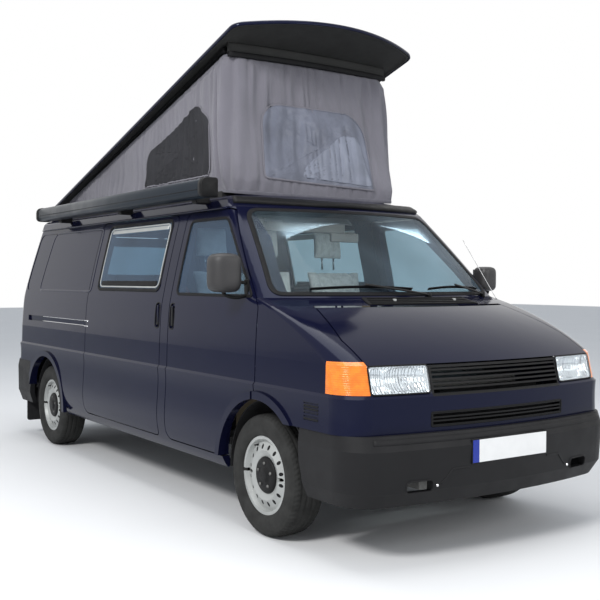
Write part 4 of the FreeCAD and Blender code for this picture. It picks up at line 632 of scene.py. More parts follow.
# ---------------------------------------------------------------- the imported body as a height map
class Skin:
    """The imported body's outside along one axis, sampled once and read between the samples."""

    def __init__(self, nodes: Sequence[str], axis: int, sign: float, first: Array, second: Array) -> None:
        """Samples the outside on a grid of rays.

        Args:
            nodes: CAD nodes that make the skin.
            axis: 0, 1 or 2, the axis along which the skin is seen.
            sign: 1 to look from the positive end, -1 from the other.
            first: places along the first other axis.
            second: places along the second other axis.
        """
        points, faces = [], []
        for name in nodes:
            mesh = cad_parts[name].data
            mesh.calc_loop_triangles()
            own = np.empty(3 * len(mesh.vertices))
            mesh.vertices.foreach_get("co", own)
            triangles = np.empty(3 * len(mesh.loop_triangles), int)
            mesh.loop_triangles.foreach_get("vertices", triangles)
            faces.append(triangles.reshape(-1, 3) + sum(len(p) for p in points))
            points.append(own.reshape(-1, 3))
        tree = BVHTree.FromPolygons(np.concatenate(points).tolist(), np.concatenate(faces).tolist())
        self.axis, self.sign, self.first, self.second = axis, sign, np.asarray(first), np.asarray(second)
        self.others = [k for k in range(3) if k != axis]
        depth = np.full((len(first), len(second)), np.nan)
        heading = Vector([0, 0, 0])
        heading[axis] = -sign
        for i, a in enumerate(first):
            for j, b in enumerate(second):
                start = Vector([0, 0, 0])
                start[axis], start[self.others[0]], start[self.others[1]] = 4 * sign, a, b
                hit = tree.ray_cast(start, heading)[0]
                depth[i, j] = sign * hit[axis] if hit else np.nan
        self.depth = self.mend(depth)

    @staticmethod
    def mend(depth: Array) -> Array:
        """Fills shut lines and gaps: a sample well behind the median of its neighbours takes that median."""
        padded = np.pad(depth, 2, mode="edge")
        stack = [padded[i:i + depth.shape[0], j:j + depth.shape[1]] for i in range(5) for j in range(5)]
        with np.errstate(all="ignore"):
            middle = np.nanmedian(np.stack(stack), axis=0)
        low = np.isnan(depth) | (depth < middle - 0.004)
        out = np.where(low, middle, depth)
        return np.where(np.isnan(out), np.nanmin(out), out)

    def at(self, a: Array, b: Array, proud: float = 0.0) -> Array:
        """Points on the skin, bilinear between samples, raised along the axis by proud.

        Args:
            a: places along the first other axis.
            b: places along the second.
            proud: how far out of the skin.

        Returns:
            Points, one to each place.
        """
        a, b = np.broadcast_arrays(np.asarray(a, float), np.asarray(b, float))
        i = np.clip(np.interp(a, self.first, np.arange(len(self.first))), 0, len(self.first) - 1.001)
        j = np.clip(np.interp(b, self.second, np.arange(len(self.second))), 0, len(self.second) - 1.001)
        i0, j0 = i.astype(int), j.astype(int)
        f, g, d = i - i0, j - j0, self.depth
        value = ((1 - f) * (1 - g) * d[i0, j0] + f * (1 - g) * d[i0 + 1, j0] + (1 - f) * g * d[i0, j0 + 1]
                 + f * g * d[i0 + 1, j0 + 1])
        out = np.empty(a.shape + (3,))
        out[..., self.axis] = self.sign * (value + proud)
        out[..., self.others[0]], out[..., self.others[1]] = a, b
        return out

    def normal(self, a: Array, b: Array) -> Array:
        """Outward unit normals at places on the skin, from differences a centimetre apart."""
        step = 0.012
        along = self.at(a + step, b) - self.at(a - step, b)
        across = self.at(a, b + step) - self.at(a, b - step)
        out = np.cross(along, across)
        out /= np.linalg.norm(out, axis=-1, keepdims=True)
        return out * np.sign(out[..., self.axis:self.axis + 1]) * self.sign

    def panel(self, name: str, line: Array, thickness: float, finish: Finish, body: str,
              sunk: float = 0.001,
              rings: int = 14, mirror: bool = False) -> bpy.types.Object:
        """A thin closed sheet on the skin inside a closed line.

        Formula: points run from the line's middle to the line in rings; the top is raised by the thickness and
        rounds down to the skin at its edge.

        Args:
            name: the piece's name.
            line: (n, 2) closed line.
            thickness: how far it stands out of the skin.
            finish: its finish.
            body: its body.
            sunk: how far its edge reaches into the skin.
            rings: rings from the middle to the edge.
            mirror: builds it on the other side of the vehicle.

        Returns:
            The object.
        """
        share = np.concatenate([[0.0], np.sin(0.5 * np.pi * np.linspace(0.1, 1, rings)), [1.0]])
        middle = line.mean(axis=0)
        places = middle + share[:, None, None] * (line - middle)[None]
        points = self.at(places[..., 0], places[..., 1])
        height = np.where(np.arange(len(share)) < len(share) - 2, thickness, 0.55 * thickness)
        height[-1] = -sunk
        points = points + height[:, None, None] * self.normal(places[..., 0], places[..., 1])
        base = points[-1:].mean(axis=1, keepdims=True) - (sunk + 0.001) * self.normal(*middle)
        points = np.concatenate([points, np.broadcast_to(base, (1,) + points.shape[1:])])
        if mirror:
            points[..., 1] *= -1
        return surface(name, points, finish, body, wrap_columns=True)

    def strip(self, name: str, line: Array, width: float, height: float, finish: Finish, body: str,
              closed: bool = True, proud: float = 0.0, mirror: bool = False, power: float = 4.0
              ) -> bpy.types.Object:
        """A rounded strip that follows a line on the skin.

        Args:
            name: the piece's name.
            line: (n, 2) places.
            width: its width on the skin.
            height: its height across the skin.
            finish: its finish.
            body: its body.
            closed: joins the line's end to its start.
            proud: how far its middle stands out.
            mirror: builds it on the other side of the vehicle.
            power: how square its section is.

        Returns:
            The object.
        """
        path = self.at(line[:, 0], line[:, 1])
        normal = self.normal(line[:, 0], line[:, 1])
        path = path + proud * normal
        if mirror:
            path, normal = path * (1, -1, 1), normal * (1, -1, 1)
        return sweep(name, ring_section(width, height, 12, power), path, normal, finish, body, closed)


SIDE_NODES = ("side_wall_right", "sliding_door", "side_windows", "front_wings", "front_door_right",
              "front_door_glass_right", "indicators", "screen_frame", "tail_lamps")
FRONT_NODES = ("front_panel", "headlamps", "grille", "bonnet", "front_wings", "screen_frame", "windscreen",
               "indicators", "roof_panel")
REAR_NODES = ("tailgate", "tailgate_glass", "side_wall_left", "side_wall_right", "tail_lamps", "roof_panel")
SIDES = {"left": 1.0, "right": -1.0}
FINISHES: dict[str, Finish] = {
    **dict.fromkeys(("side_wall_left", "side_wall_right", "sliding_door", "front_wings", "front_panel",
                     "screen_frame", "bonnet", "tailgate", "front_door_left", "front_door_right",
                     "roof_panel",
                     "pop_top_shell", "hinge_lugs"), PAINT),
    **dict.fromkeys(("side_windows", "front_door_glass_left", "front_door_glass_right", "tailgate_glass"),
                    GLASS),
    "windscreen": SCREEN_GLASS, "grille": MOULDING, "front_bumper": BUMPER, "rear_bumper": BUMPER,
    "wheel_liners": CHASSIS, "floor_pan": CHASSIS, "inner_frame": CHASSIS, "front_subframe": CHASSIS,
    "rear_axle": CHASSIS, "knuckle_left": CAST, "knuckle_right": CAST, "engine": CAST, "radiator": CHASSIS,
    "tank_and_silencer": CAST, "tent_sill": SHELL_LINING, "pop_top_frame": MOULDING, "awning_case": AWNING,
    "awning_fittings": MOULDING, "furniture": BOARD, "dashboard": DASH, "steering_wheel": DASH,
    "indicators": AMBER, "tail_lamps": RED,
    **{f"rim_{a}_{s}": SILVER for a in ("front", "rear") for s in SIDES},
}


class Skins:
    """Height maps of the body's right side, front, rear and roof."""

    def __init__(self) -> None:
        """Samples all four."""
        self.side = Skin(SIDE_NODES, 1, -1.0, np.arange(-2.56, 2.54, 0.02), np.arange(0.30, 1.80, 0.0125))
        self.front = Skin(FRONT_NODES, 0, 1.0, np.arange(-0.90, 0.901, 0.0125),
                          np.arange(0.64, 1.90, 0.0125))
        self.rear = Skin(REAR_NODES, 0, -1.0, np.arange(-0.86, 0.861, 0.0125),
                         np.arange(0.68, 1.86, 0.0125))
        self.nose = Skin(("front_bumper",), 0, 1.0, np.arange(-0.88, 0.881, 0.02),
                         np.arange(0.30, 0.63, 0.0125))
        self.roof = Skin(("roof_panel", "tent_sill"), 2, 1.0, np.arange(-2.4, 1.3, 0.02),
                         np.arange(-0.74, 0.741, 0.02))


@dataclass
class Coachwork:
    """Finishes of the carried-over solids, and the trim on the body's outside."""

    skins: Skins

    def dress(self) -> None:
        """Gives each CAD node its finish."""
        for name, finish in FINISHES.items():
            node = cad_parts[name]
            for slot in node.material_slots or ():
                slot.material = finish.material()
            if not node.material_slots:
                node.data.materials.append(finish.material())

    def window_seals(self) -> None:
        """Rubber round the door, side and rear windows, which follow the skin."""
        side = self.skins.side
        fa = FRONT_AXLE
        door = outline([(fa - 0.122, BELT + 0.008, 0.03), (fa - 0.574, 1.722, 0.04),
                        (fa - 1.022, 1.722, 0.04),
                        (fa - 1.022, BELT + 0.008, 0.04)])
        middle = outline([(fa - 1.283, BELT + 0.026, 0.055), (fa - 1.283, 1.742, 0.055),
                          (fa - 2.308, 1.742, 0.055), (fa - 2.308, BELT + 0.026, 0.055)])
        for name, sign in SIDES.items():
            mirror = sign > 0
            side.strip(f"door_window_seal_{name}", door, 0.018, 0.010, SEAL, f"front_{name}_door",
                       mirror=mirror)
            side.strip(f"side_window_seal_{name}", middle, 0.022, 0.012, SEAL, "van", mirror=mirror)
            inner = middle.mean(axis=0) + (middle - middle.mean(axis=0)) * (0.955, 0.91)
            side.strip(f"side_window_frame_{name}", inner, 0.010, 0.005, SILVER, "van", proud=0.001,
                       mirror=mirror)
            cassette = np.stack([np.linspace(fa - 1.335, fa - 2.255, 30), np.full(30, 1.700)], axis=1)
            side.strip(f"side_window_blind_{name}", cassette, 0.026, 0.003, SILVER, "van", closed=False,
                       proud=0.0005, mirror=mirror)
            foot = np.stack([np.linspace(fa - 1.335, fa - 2.255, 30), np.full(30, BELT + 0.070)], axis=1)
            side.strip(f"side_window_foot_{name}", foot, 0.036, 0.003, SEAL, "van", closed=False,
                       proud=0.0005,
                       mirror=mirror)
        half = 0.68
        tail = outline([(-half + 0.07, BELT + 0.01, 0.07), (-half + 0.11, 1.68, 0.07),
                        (half - 0.11, 1.68, 0.07),
                        (half - 0.07, BELT + 0.01, 0.07)])
        self.skins.rear.strip("rear_window_seal", tail, 0.022, 0.012, SEAL, "tailgate")
        screen = outline([(-0.799, BELT + 0.02, 0.06), (-0.671, GUTTER - 0.018, 0.07),
                          (0.671, GUTTER - 0.018, 0.07), (0.799, BELT + 0.02, 0.06)])
        self.skins.front.strip("windscreen_seal", screen, 0.03, 0.011, SEAL, "van")

    def side_trim(self) -> None:
        """Gutters, the blank recesses' lips, slide rail edges, wing louvres and handle covers."""
        side, fa = self.skins.side, FRONT_AXLE
        blank = outline([(fa - 2.43, 1.268, 0.05), (fa - 2.43, 1.742, 0.06), (fa - 3.50, 1.742, 0.08),
                         (fa - 3.60, 1.268, 0.06)])
        for name, sign in SIDES.items():
            mirror = sign > 0
            side.strip(f"blank_recess_lip_{name}", blank, 0.020, 0.006, PAINT, "van", mirror=mirror,
                       power=2.0)
            x = np.linspace(fa - 0.62, fa - 4.0, 60)
            gutter = np.stack([x, np.full_like(x, GUTTER - 0.006)], axis=1)
            side.strip(f"rain_gutter_{name}", gutter, 0.014, 0.018, PAINT, "van", closed=False,
                       mirror=mirror)
            louvres = []
            for row in range(6):
                z = 0.6865 + 0.016 * row
                line = np.stack([np.linspace(fa + 0.425, fa + 0.548, 12), np.full(12, z)], axis=1)
                louvres.append(side.strip(f"louvre_{name}_{row}", line, 0.009, 0.003, SEAL, "van",
                                          closed=False,
                                          mirror=mirror))
            join(f"wing_louvres_{name}", louvres)
            self.handle(name, fa - 1.048, f"front_{name}_door", mirror)
        self.handle("slide", fa - 1.254, "van", False)
        x = np.linspace(fa - 2.42, fa - 3.46, 40)
        for k, z in enumerate((1.012, 1.052)):
            edge = np.stack([x, np.full_like(x, z)], axis=1)
            side.strip(f"slide_rail_edge_{k}", edge, 0.007, 0.010, BRIGHT, "van", closed=False)

    def handle(self, name: str, x: float, body: str, mirror: bool) -> None:
        """The rim of a door handle's oval recess, and the cover of its upright pull bar.

        Args:
            name: what tells it from the others.
            x: its place along the vehicle.
            body: the door's body.
            mirror: on the left side.
        """
        side = self.skins.side
        oval = outline([(x - 0.031, 1.052, 0.03), (x - 0.031, 1.212, 0.03), (x + 0.031, 1.212, 0.03),
                        (x + 0.031, 1.052, 0.03)])
        side.strip(f"handle_rim_{name}", oval, 0.008, 0.006, MOULDING, body, mirror=mirror, power=2.0)
        grip = outline([(x - 0.012, 1.070, 0.011), (x - 0.012, 1.194, 0.011), (x + 0.012, 1.194, 0.011),
                        (x + 0.012, 1.070, 0.011)])
        side.panel(f"handle_grip_{name}", grip, 0.003, MOULDING, body, mirror=mirror)

    def front_trim(self) -> None:
        """Cowl grille with slats and washer jets, screen visor, a near-black sheet that paints the shade behind
        the lower intake, and the roof-front profile.
        """
        front = self.skins.front
        cowl = outline([(-0.371, 1.225, 0.008), (-0.345, 1.261, 0.008), (0.420, 1.261, 0.008),
                        (0.467, 1.225, 0.008)])
        front.panel("cowl_grille", cowl, 0.005, SEAL, "van")
        slats = []
        for row in range(4):
            z, half = 1.226 + 0.009 * row, 0.395 - 0.010 * row
            line = np.stack([np.linspace(0.04 - half, 0.04 + half, 40), np.full(40, z)], axis=1)
            slats.append(front.strip(f"slat_{row}", line, 0.004, 0.008, MOULDING, "van", closed=False,
                                     proud=0.006))
        join("cowl_slats", slats)
        jets = [rounded_box(f"jet_{i}", *self.around(front.at(np.array(s),
                                                              np.array(1.244)) + (0.004, 0, 0.004),
                                                     0.009), 0.004, SILVER, "van") for i,
                                                     s in enumerate((-0.17, 0.29))]
        join("washer_jets", jets)
        visor = np.stack([np.linspace(-0.60, -0.04, 24), np.full(24, GUTTER - 0.066)], axis=1)
        front.strip("screen_visor", visor, 0.060, 0.006, SEAL, "van", closed=False, proud=-0.016)
        # A near-black sheet behind the lower intake: painted shade inside the opening.
        back = front.at(np.array(0.0), np.array(0.695))[0]
        rounded_box("intake_painted_shade", (back - 0.075, -0.48, 0.645), (back - 0.070, 0.48, 0.745), 0.002, SEAL,
                    "van")
        y = np.linspace(-0.70, 0.70, 60)
        x = FRONT_AXLE - 0.475 - 0.16 * (y / 0.7) ** 2
        self.skins.roof.strip("roof_front_profile", np.stack([x, y], axis=1), 0.075, 0.030, MOULDING, "van",
                              closed=False, proud=0.004)

    @staticmethod
    def around(point: Array, half: float) -> tuple[Array, Array]:
        """Low and high corners of a cube about a point."""
        return point - half, point + half

    def build(self) -> None:
        """Builds everything that this class holds."""
        self.dress()
        self.window_seals()
        self.side_trim()
        self.front_trim()


@dataclass
class Wheel:
    """One wheel: treaded tyre, cap, bolts, valve, and near-black ovals that paint the shade in the rim's vents,
    on the carried-over rim.
    """

    axle: str
    side: str
    radius: float = 0.324
    half_width: float = 0.1025
    grooves: tuple[float, ...] = (-0.052, -0.018, 0.018, 0.052)
    blocks: int = 72
    steps: int = 288
    bolt_count: int = 5
    vent_count: int = 16
    vent_circle: float = 0.152

    @property
    def body(self) -> str:
        """The wheel's body."""
        return f"{self.axle}_{self.side}_wheel"

    @property
    def centre(self) -> Array:
        """The wheel's centre."""
        low, high = (np.array(v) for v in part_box(f"tyre_{self.axle}_{self.side}"))
        return 0.5 * (low + high)

    def tyre(self) -> None:
        """The treaded tyre, which stands for the plain one.

        Formula: a half section runs from the bead round the side wall to the crown, is mirrored and turned
        about the axle; rings are sunk at the grooves, and slanted cuts between the blocks by the turn's phase.
        """
        half = np.array([(0.196, 0.066), (0.2086, 0.0716), (0.2096, 0.082), (0.216, 0.090), (0.228, 0.0975),
                         (0.242, 0.1015), (0.256, self.half_width), (0.272, 0.1015), (0.288, 0.0975),
                         (0.301, 0.0925), (0.3105, 0.0865), (0.3170, 0.0785), (0.3205, 0.069),
                         (0.3228, 0.052), (0.3238, 0.025), (self.radius, 0.0)])
        reach = np.concatenate([[0], np.cumsum(np.linalg.norm(np.diff(half, axis=0), axis=1))])
        places = np.linspace(0, reach[-1], 46)
        r, y = (np.interp(places, reach, half[:, k]) for k in (0, 1))
        r, y = np.concatenate([r, r[-2::-1]]), np.concatenate([y, -y[-2::-1]])
        inner = np.array([(0.2, -0.05), (0.26, -0.088), (0.3, -0.06), (0.306, 0.0), (0.3, 0.06),
                          (0.26, 0.088),
                          (0.2, 0.05)])
        r, y = np.concatenate([r, inner[:, 0]]), np.concatenate([y, inner[:, 1]])
        turn = 2 * np.pi * np.arange(self.steps) / self.steps
        tread = (r[:, None] > 0.309).astype(float)
        depth = sum(np.exp(-((y[:, None] - g) / 0.0031) ** 4) for g in self.grooves) * 0.0075
        skew = y[:, None] * 55 * np.sign(y[:, None]) * 0.35
        phase = (turn[None] * self.blocks / (2 * np.pi) + skew) % 1.0
        shoulder = np.clip((np.abs(y[:, None]) - 0.050) / 0.012, 0, 1)
        depth = np.maximum(depth, 0.0055 * np.exp(-((phase - 0.5) / 0.13) ** 6) * (0.35 + 0.65 * shoulder))
        fine = (turn[None] * self.blocks * 2 / (2 * np.pi) + skew * 2) % 1.0
        depth = np.maximum(depth, 0.0022 * np.exp(-((fine - 0.5) / 0.12) ** 6) * (1 - shoulder))
        wall = np.exp(-((r[:, None] - 0.287) / 0.004) ** 2) + np.exp(-((r[:, None] - 0.232) / 0.003) ** 2)
        radius = r[:, None] - depth * tread
        along = y[:, None] + 0.0010 * wall * np.sign(y[:, None]) * (np.abs(y[:, None]) > 0.08) + 0 * turn
        grid = np.stack([radius * np.cos(turn), along, radius * np.sin(turn)], axis=-1) + self.centre
        piece = surface(f"tyre_tread_{self.axle}_{self.side}", grid, RUBBER, self.body, wrap_rows=True,
                        wrap_columns=True)
        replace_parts(piece, f"tyre_{self.axle}_{self.side}")

    def hub(self) -> None:
        """Black centre cap, wheel bolts, a near-black ring behind the vents that paints the shade seen through
        them, and the valve in the rim.
        """
        sign = SIDES[self.side]
        cap = [(0, 0.088), (0.024, 0.0875), (0.034, 0.085), (0.040, 0.0795), (0.062, 0.0785),
               (0.084, 0.0765),
               (0.094, 0.072), (0.099, 0.063), (0.086, 0.054), (0, 0.052)]
        lathe(f"wheel_cap_{self.axle}_{self.side}", cap, self.centre, MOULDING, self.body, 64, side=sign)
        bolts = []
        for k in range(self.bolt_count):
            angle = 2 * np.pi * k / self.bolt_count + 0.3
            spot = self.centre + 0.064 * np.array([math.cos(angle), 0, math.sin(angle)])
            bolts.append(lathe(f"bolt_{k}", [(0, 0.0845), (0.007, 0.084), (0.009, 0.081), (0.0095, 0.072),
                                             (0, 0.072)], spot, CAST, self.body, 12, side=sign))
        join(f"wheel_bolts_{self.axle}_{self.side}", bolts)
        # A flat near-black ring behind the vent circle: painted shade behind the rim's holes.
        shade = [(0.131, 0.0430), (0.172, 0.0430), (0.173, 0.0415), (0.172, 0.0400), (0.131, 0.0400),
                 (0.130, 0.0415)]
        surface(f"painted_vent_shade_{self.axle}_{self.side}", lathe_grid(shade, self.centre, 96, "y", sign), SEAL,
                self.body, wrap_rows=True, wrap_columns=True)
        # Near-black ovals at the vents: painted shade in place of the dark seen through the rim's holes.
        vents = []
        for k in range(self.vent_count):
            angle = 2 * np.pi * (k + 0.5) / self.vent_count
            grid = lathe_grid([(0, 0.0702), (0.55, 0.0702), (1.0, 0.0694), (0.9, 0.0640), (0, 0.0640)],
                              (0, 0, 0), 20,
                              "y", sign)
            out = grid[..., 0] * 0.0135
            across = grid[..., 2] * 0.0095
            far = self.vent_circle + out
            grid = np.stack([far * np.cos(angle) - across * np.sin(angle), grid[..., 1] - sign * 0.44 * out,
                             far * np.sin(angle) + across * np.cos(angle)], axis=-1) + self.centre
            vents.append(surface(f"vent_{k}", grid, SEAL, self.body, wrap_columns=True))
        join(f"rim_vent_shade_{self.axle}_{self.side}", vents)
        spot = self.centre + 0.172 * np.array([math.cos(2.1), 0, math.sin(2.1)])
        lathe(f"valve_{self.axle}_{self.side}", [(0, 0.086), (0.004, 0.085), (0.0045, 0.07), (0.006, 0.06),
                                                 (0.006, 0.05), (0, 0.05)], spot, SEAL, self.body, 12,
                                                 side=sign)

    def build(self) -> None:
        """Builds the wheel's pieces."""
        self.tyre()
        self.hub()


@dataclass
class Tent:
    """The lifting roof's tent: one cloth round three sides, with screened and clear windows and their hems."""

    half_width: float = 0.634
    front_foot: float = -0.720
    lean: float = 0.130
    foot: float = 1.909
    corner: float = 0.100
    hinge: tuple[float, float] = (-2.2935, 1.9)
    rise: float = math.radians(15.3)
    back: float = -1.95
    columns: int = 500
    rows: int = 72

    def __post_init__(self) -> None:
        """Lays out the plan's line and the seeded fold waves."""
        nose = FRONT_AXLE + self.front_foot
        w, c = self.half_width, self.corner
        quarter = np.linspace(0, np.pi / 2, 10)
        right = np.stack([nose - c + c * np.sin(quarter), -w + c - c * np.cos(quarter)], axis=1)
        left = (right * (1, -1))[::-1]
        plan = np.vstack([[(self.back, -w)], right, left, [(self.back, w)]])
        reach = np.concatenate([[0], np.cumsum(np.linalg.norm(np.diff(plan, axis=0), axis=1))])
        self.plan, self.reach, self.length = plan, reach, float(reach[-1])
        self.wall = nose - c - self.back
        self.waves = np.random.default_rng(SEED).uniform(0, 1, (9, 4))

    def top(self, x: Array) -> Array:
        """Height of the lifting roof's lining over a place along the vehicle."""
        lift = (ROOF + 0.0337 - self.hinge[1]) / math.cos(self.rise) - 0.014
        return self.hinge[1] + (x - self.hinge[0]) * math.tan(self.rise) + lift

    def cloth(self, s: Array, t: Array, proud: float = 0.0) -> Array:
        """Points of the cloth.

        Formula: s runs round the plan's line and t from the foot to the lining; the front leans back with t;
        long upright folds, weaker at the sewn edges, and slack waves move each point along its outward normal.

        Args:
            s: metres along the plan's line from the rear right.
            t: 0 at the foot to 1 at the top.
            proud: how far outside the cloth.

        Returns:
            Points, one to each place.
        """
        s, t = np.broadcast_arrays(s, t)
        x, y = (np.interp(s, self.reach, self.plan[:, k]) for k in (0, 1))
        dx, dy = (np.interp(s + 0.004, self.reach, self.plan[:, k]) - np.interp(s - 0.004, self.reach,
                                                                               self.plan[:, k])
                                                                               for k in (0, 1))
        size = np.hypot(dx, dy) + 1e-9
        normal = np.stack([dy / size, -dx / size], axis=-1)
        front = np.clip((x - (FRONT_AXLE + self.front_foot - 0.35)) / 0.35, 0, 1)
        low = self.foot - 0.030 * front**2
        height = low + t * (self.top(x - self.lean * t * front) - low)
        edge = np.clip(np.minimum(t / 0.10, (1 - t) / 0.08), 0, 1) ** 0.8
        fold = 0.0
        for a, b, c, d in self.waves:
            pitch = 0.10 + 0.32 * a
            fold = fold + (0.35 + 0.65 * d) * np.sin(2 * np.pi * (s / pitch + b + (0.10 + 0.25 * c) * t
                                                                  * (1 - t)
                                                                 * 4 * (d - 0.5)) + 3 * c)
        sharp = np.abs(np.sin(0.9 * fold + 0.6)) ** 0.6
        slack = np.sin(2 * np.pi * (s * 1.1 + 0.8 * t)) * np.sin(np.pi * t)
        near = np.minimum(np.abs(s - self.wall), np.abs(self.length - self.wall - s))
        fan = np.sin(2 * np.pi * (near * (5.5 + 5 * (1 - t))
                                  + 0.15)) * np.exp(-near / 0.26) * np.sin(np.pi * t) ** 0.6
        gather = np.sin(2 * np.pi * s * 21) * np.exp(-(1 - t) / 0.30) * (0.4 + 0.6 * np.sin(5 * s) ** 2)
        foot = np.sin(2 * np.pi * s * 17 + 2 * np.sin(3 * s)) * np.exp(-t / 0.10)
        corner = np.exp(-near / 0.30)
        pleat = np.abs(np.sin(2 * np.pi * (near * 5.2 + 0.30 * (1 - t)) + 0.4)) ** 1.6 * corner
        push = edge * (0.013 * sharp + 0.009 * slack + 0.018 * fan + 0.030 * pleat + 0.006 * gather
                       + 0.002 * foot) + proud
        push = push - 0.010 * np.sin(np.pi * t) * (1 - 0.3 * front)
        return np.stack([x - self.lean * t * front + push * normal[..., 0], y + push * normal[..., 1]
                - 0.026 * t * np.sign(y) * np.clip(np.abs(y) / 0.3, 0, 1), height], axis=-1)

    def at_side(self, x: Array, z: Array, sign: float, proud: float) -> Array:
        """Points of a side wall at places along the vehicle and heights."""
        s = x - self.back if sign < 0 else self.length - (x - self.back)
        t = (z - self.foot) / (self.top(x) - self.foot)
        return self.cloth(s, t, proud)

    def at_front(self, y: Array, z: Array, proud: float) -> Array:
        """Points of the front wall at places across the vehicle and heights."""
        s = 0.5 * self.length + y
        x = FRONT_AXLE + self.front_foot - 0.5 * self.lean
        t = (z - self.foot) / (self.top(np.array(x)) - self.foot)
        return self.cloth(s, t, proud)

    def patch(self, name: str, line: Array, where: object, finish: Finish, proud: float = 0.0055
              ) -> bpy.types.Object:
        """A sewn-in window as a sheet over the cloth inside a line.

        Formula: rings from the line's middle to the line, laid on the cloth; the rim turns down into it.
        """
        share = np.linspace(0, 1, 22)[:, None, None]
        middle = line.mean(axis=0)
        places = middle + share * (line - middle)[None]
        points = where(places[..., 0], places[..., 1], proud)
        rim = where(line[:, 0], line[:, 1], -0.001)[None]
        return surface(name, np.concatenate([points, rim]), finish, "van", wrap_columns=True)

    def band(self, name: str, line: Array, where: object, width: float, finish: Finish, closed: bool = True
             ) -> bpy.types.Object:
        """Webbing sewn along a line on the cloth."""
        path = where(line[:, 0], line[:, 1], 0.004)
        outward = where(line[:, 0], line[:, 1], 0.03) - path
        outward /= np.linalg.norm(outward, axis=1, keepdims=True)
        return sweep(name, ring_section(width, 0.006, 10, 3.0), path, outward, finish, "van", closed)

    def build(self) -> None:
        """Builds the cloth with its windows and hems."""
        s = np.linspace(0, self.length, self.columns)[None]
        t = (0.5 - 0.5 * np.cos(np.pi * np.linspace(0, 1, self.rows)))[:, None]
        cloth = surface("tent_cloth", self.cloth(s, t), TENT_CLOTH, "van")
        thick = cloth.modifiers.new("cloth", "SOLIDIFY")
        thick.thickness = 0.0016
        thick.offset = -1
        fa, pieces = FRONT_AXLE, []
        screen = outline([(fa - 1.220, 2.50, 0.07), (fa - 1.035, 2.38, 0.12), (fa - 1.01, 2.020, 0.05),
                          (fa - 2.02, 2.020, 0.03), (fa - 1.955, 2.26, 0.06)])
        for name, sign in SIDES.items():
            where = lambda x, z, proud, sign=sign: self.at_side(x, z, sign, proud)
            pieces.append(self.patch(f"tent_screen_{name}", screen, where, FLYSCREEN))
            pieces.append(self.band(f"tent_screen_hem_{name}", screen, where, 0.010, TENT_CLOTH))
        window = outline([(-0.430, 2.015, 0.03), (-0.425, 2.480, 0.15), (0.395, 2.480, 0.17),
                          (0.440, 1.985, 0.03)])
        pieces.append(self.patch("tent_front_film", window, self.at_front, FILM))
        pieces.append(self.band("tent_front_hem", window, self.at_front, 0.012, TENT_CLOTH))
        # A lighter patch of film on the front window's lower right: a painted highlight.
        lit = outline([(-0.13, 2.035, 0.02), (-0.10, 2.11, 0.03), (0.21, 2.33, 0.05), (0.36, 2.32, 0.06),
                       (0.415, 2.005, 0.02)])
        pieces.append(self.patch("tent_front_film_lit", lit, self.at_front, FILM_PAINTED_HIGHLIGHT, 0.0075))
        for k, share in enumerate((0.012, 0.988)):
            s_line = np.linspace(0.004, self.length - 0.004, 260)
            path = self.cloth(s_line, np.full_like(s_line, share), 0.002)
            out = self.cloth(s_line, np.full_like(s_line, share), 0.03) - path
            pieces.append(sweep(f"tent_edge_band_{k}", ring_section(0.022, 0.004, 10, 3.0), path,
                                out / np.linalg.norm(out, axis=1, keepdims=True), HEM, "van"))
        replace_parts(cloth, "tent_canvas")
        for piece in [cloth, *pieces]:
            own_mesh(piece)


@dataclass
class Headlamp:
    """One headlamp: a bright faceted reflector bowl behind a clear lens, in place of the plain block."""

    skins: Skins
    side: str
    inner: float = 0.455
    outer: float = 0.782
    low: float = 0.821
    high: float = 0.954

    def bowl(self, u: Array, v: Array) -> Array:
        """Depth behind the lens.

        Formula: a flat frame 12 mm deep, with two dishes of 1 - r^2, stepped by a fine sine into facets.
        """
        depth = np.full(u.shape, 0.010)
        for a, b, ra, rb, deep in ((0.40, 0.5, 0.36, 0.46, 0.030), (0.86, 0.5, 0.13, 0.42, 0.016)):
            r2 = ((u - a) / ra) ** 2 + ((v - b) / rb) ** 2
            depth = depth + deep * np.clip(1 - r2, 0, 1) ** 0.8
        return depth + 0.0022 * np.abs(np.sin(u * 34)) * (np.abs(v - 0.5) < 0.44)

    def build(self) -> bpy.types.Object:
        """Builds the reflector, bulb, lens and rim.

        Returns:
            The lens, which stands for the CAD block with its fellow.
        """
        sign = SIDES[self.side]
        front = self.skins.front
        s, t = np.meshgrid(np.linspace(0, 1, 120), np.linspace(0, 1, 48), indexing="ij")
        a = sign * (self.inner + s * (self.outer - self.inner))
        b = self.low + t * (self.high - self.low)
        face = front.at(a, b)
        inner = face.copy()
        rim = np.minimum(np.minimum(s, 1 - s) * 5, np.minimum(t, 1 - t) * 3)
        inner[..., 0] -= np.clip(rim * 3, 0, 1) * self.bowl(s, t) + 0.002
        surface(f"lamp_reflector_{self.side}", inner if sign > 0 else inner[::-1], REFLECTOR, "van", weld=0)
        line = outline([(self.inner, self.low, 0.022), (self.inner, self.high, 0.022),
                        (self.outer, self.high, 0.02), (self.outer, self.low, 0.02)]) * (sign, 1)
        front.strip(f"lamp_rim_{self.side}", line, 0.008, 0.009, SEAL, "van")
        share = np.linspace(0.0, 1.0, 20)[:, None, None]
        middle = line.mean(axis=0)
        places = middle + share * (line - middle)
        lens = front.at(places[..., 0], places[..., 1], 0.003)
        lens[..., 0] += 0.004 * (1 - share[..., 0] ** 2)
        back = lens[::-1] - (0.003, 0, 0)
        spot = front.at(np.array(sign * 0.586), np.array(0.888)) - (0.03, 0, 0)
        lathe(f"lamp_bulb_{self.side}", [(0, 0.030), (0.008, 0.028), (0.011, 0.020), (0.011, 0.0),
                                         (0, 0.0)], spot,
              BRIGHT, "van", 20, "x")
        return surface(f"lamp_lens_{self.side}", np.concatenate([lens, back]), LENS, "van",
                       wrap_columns=True)


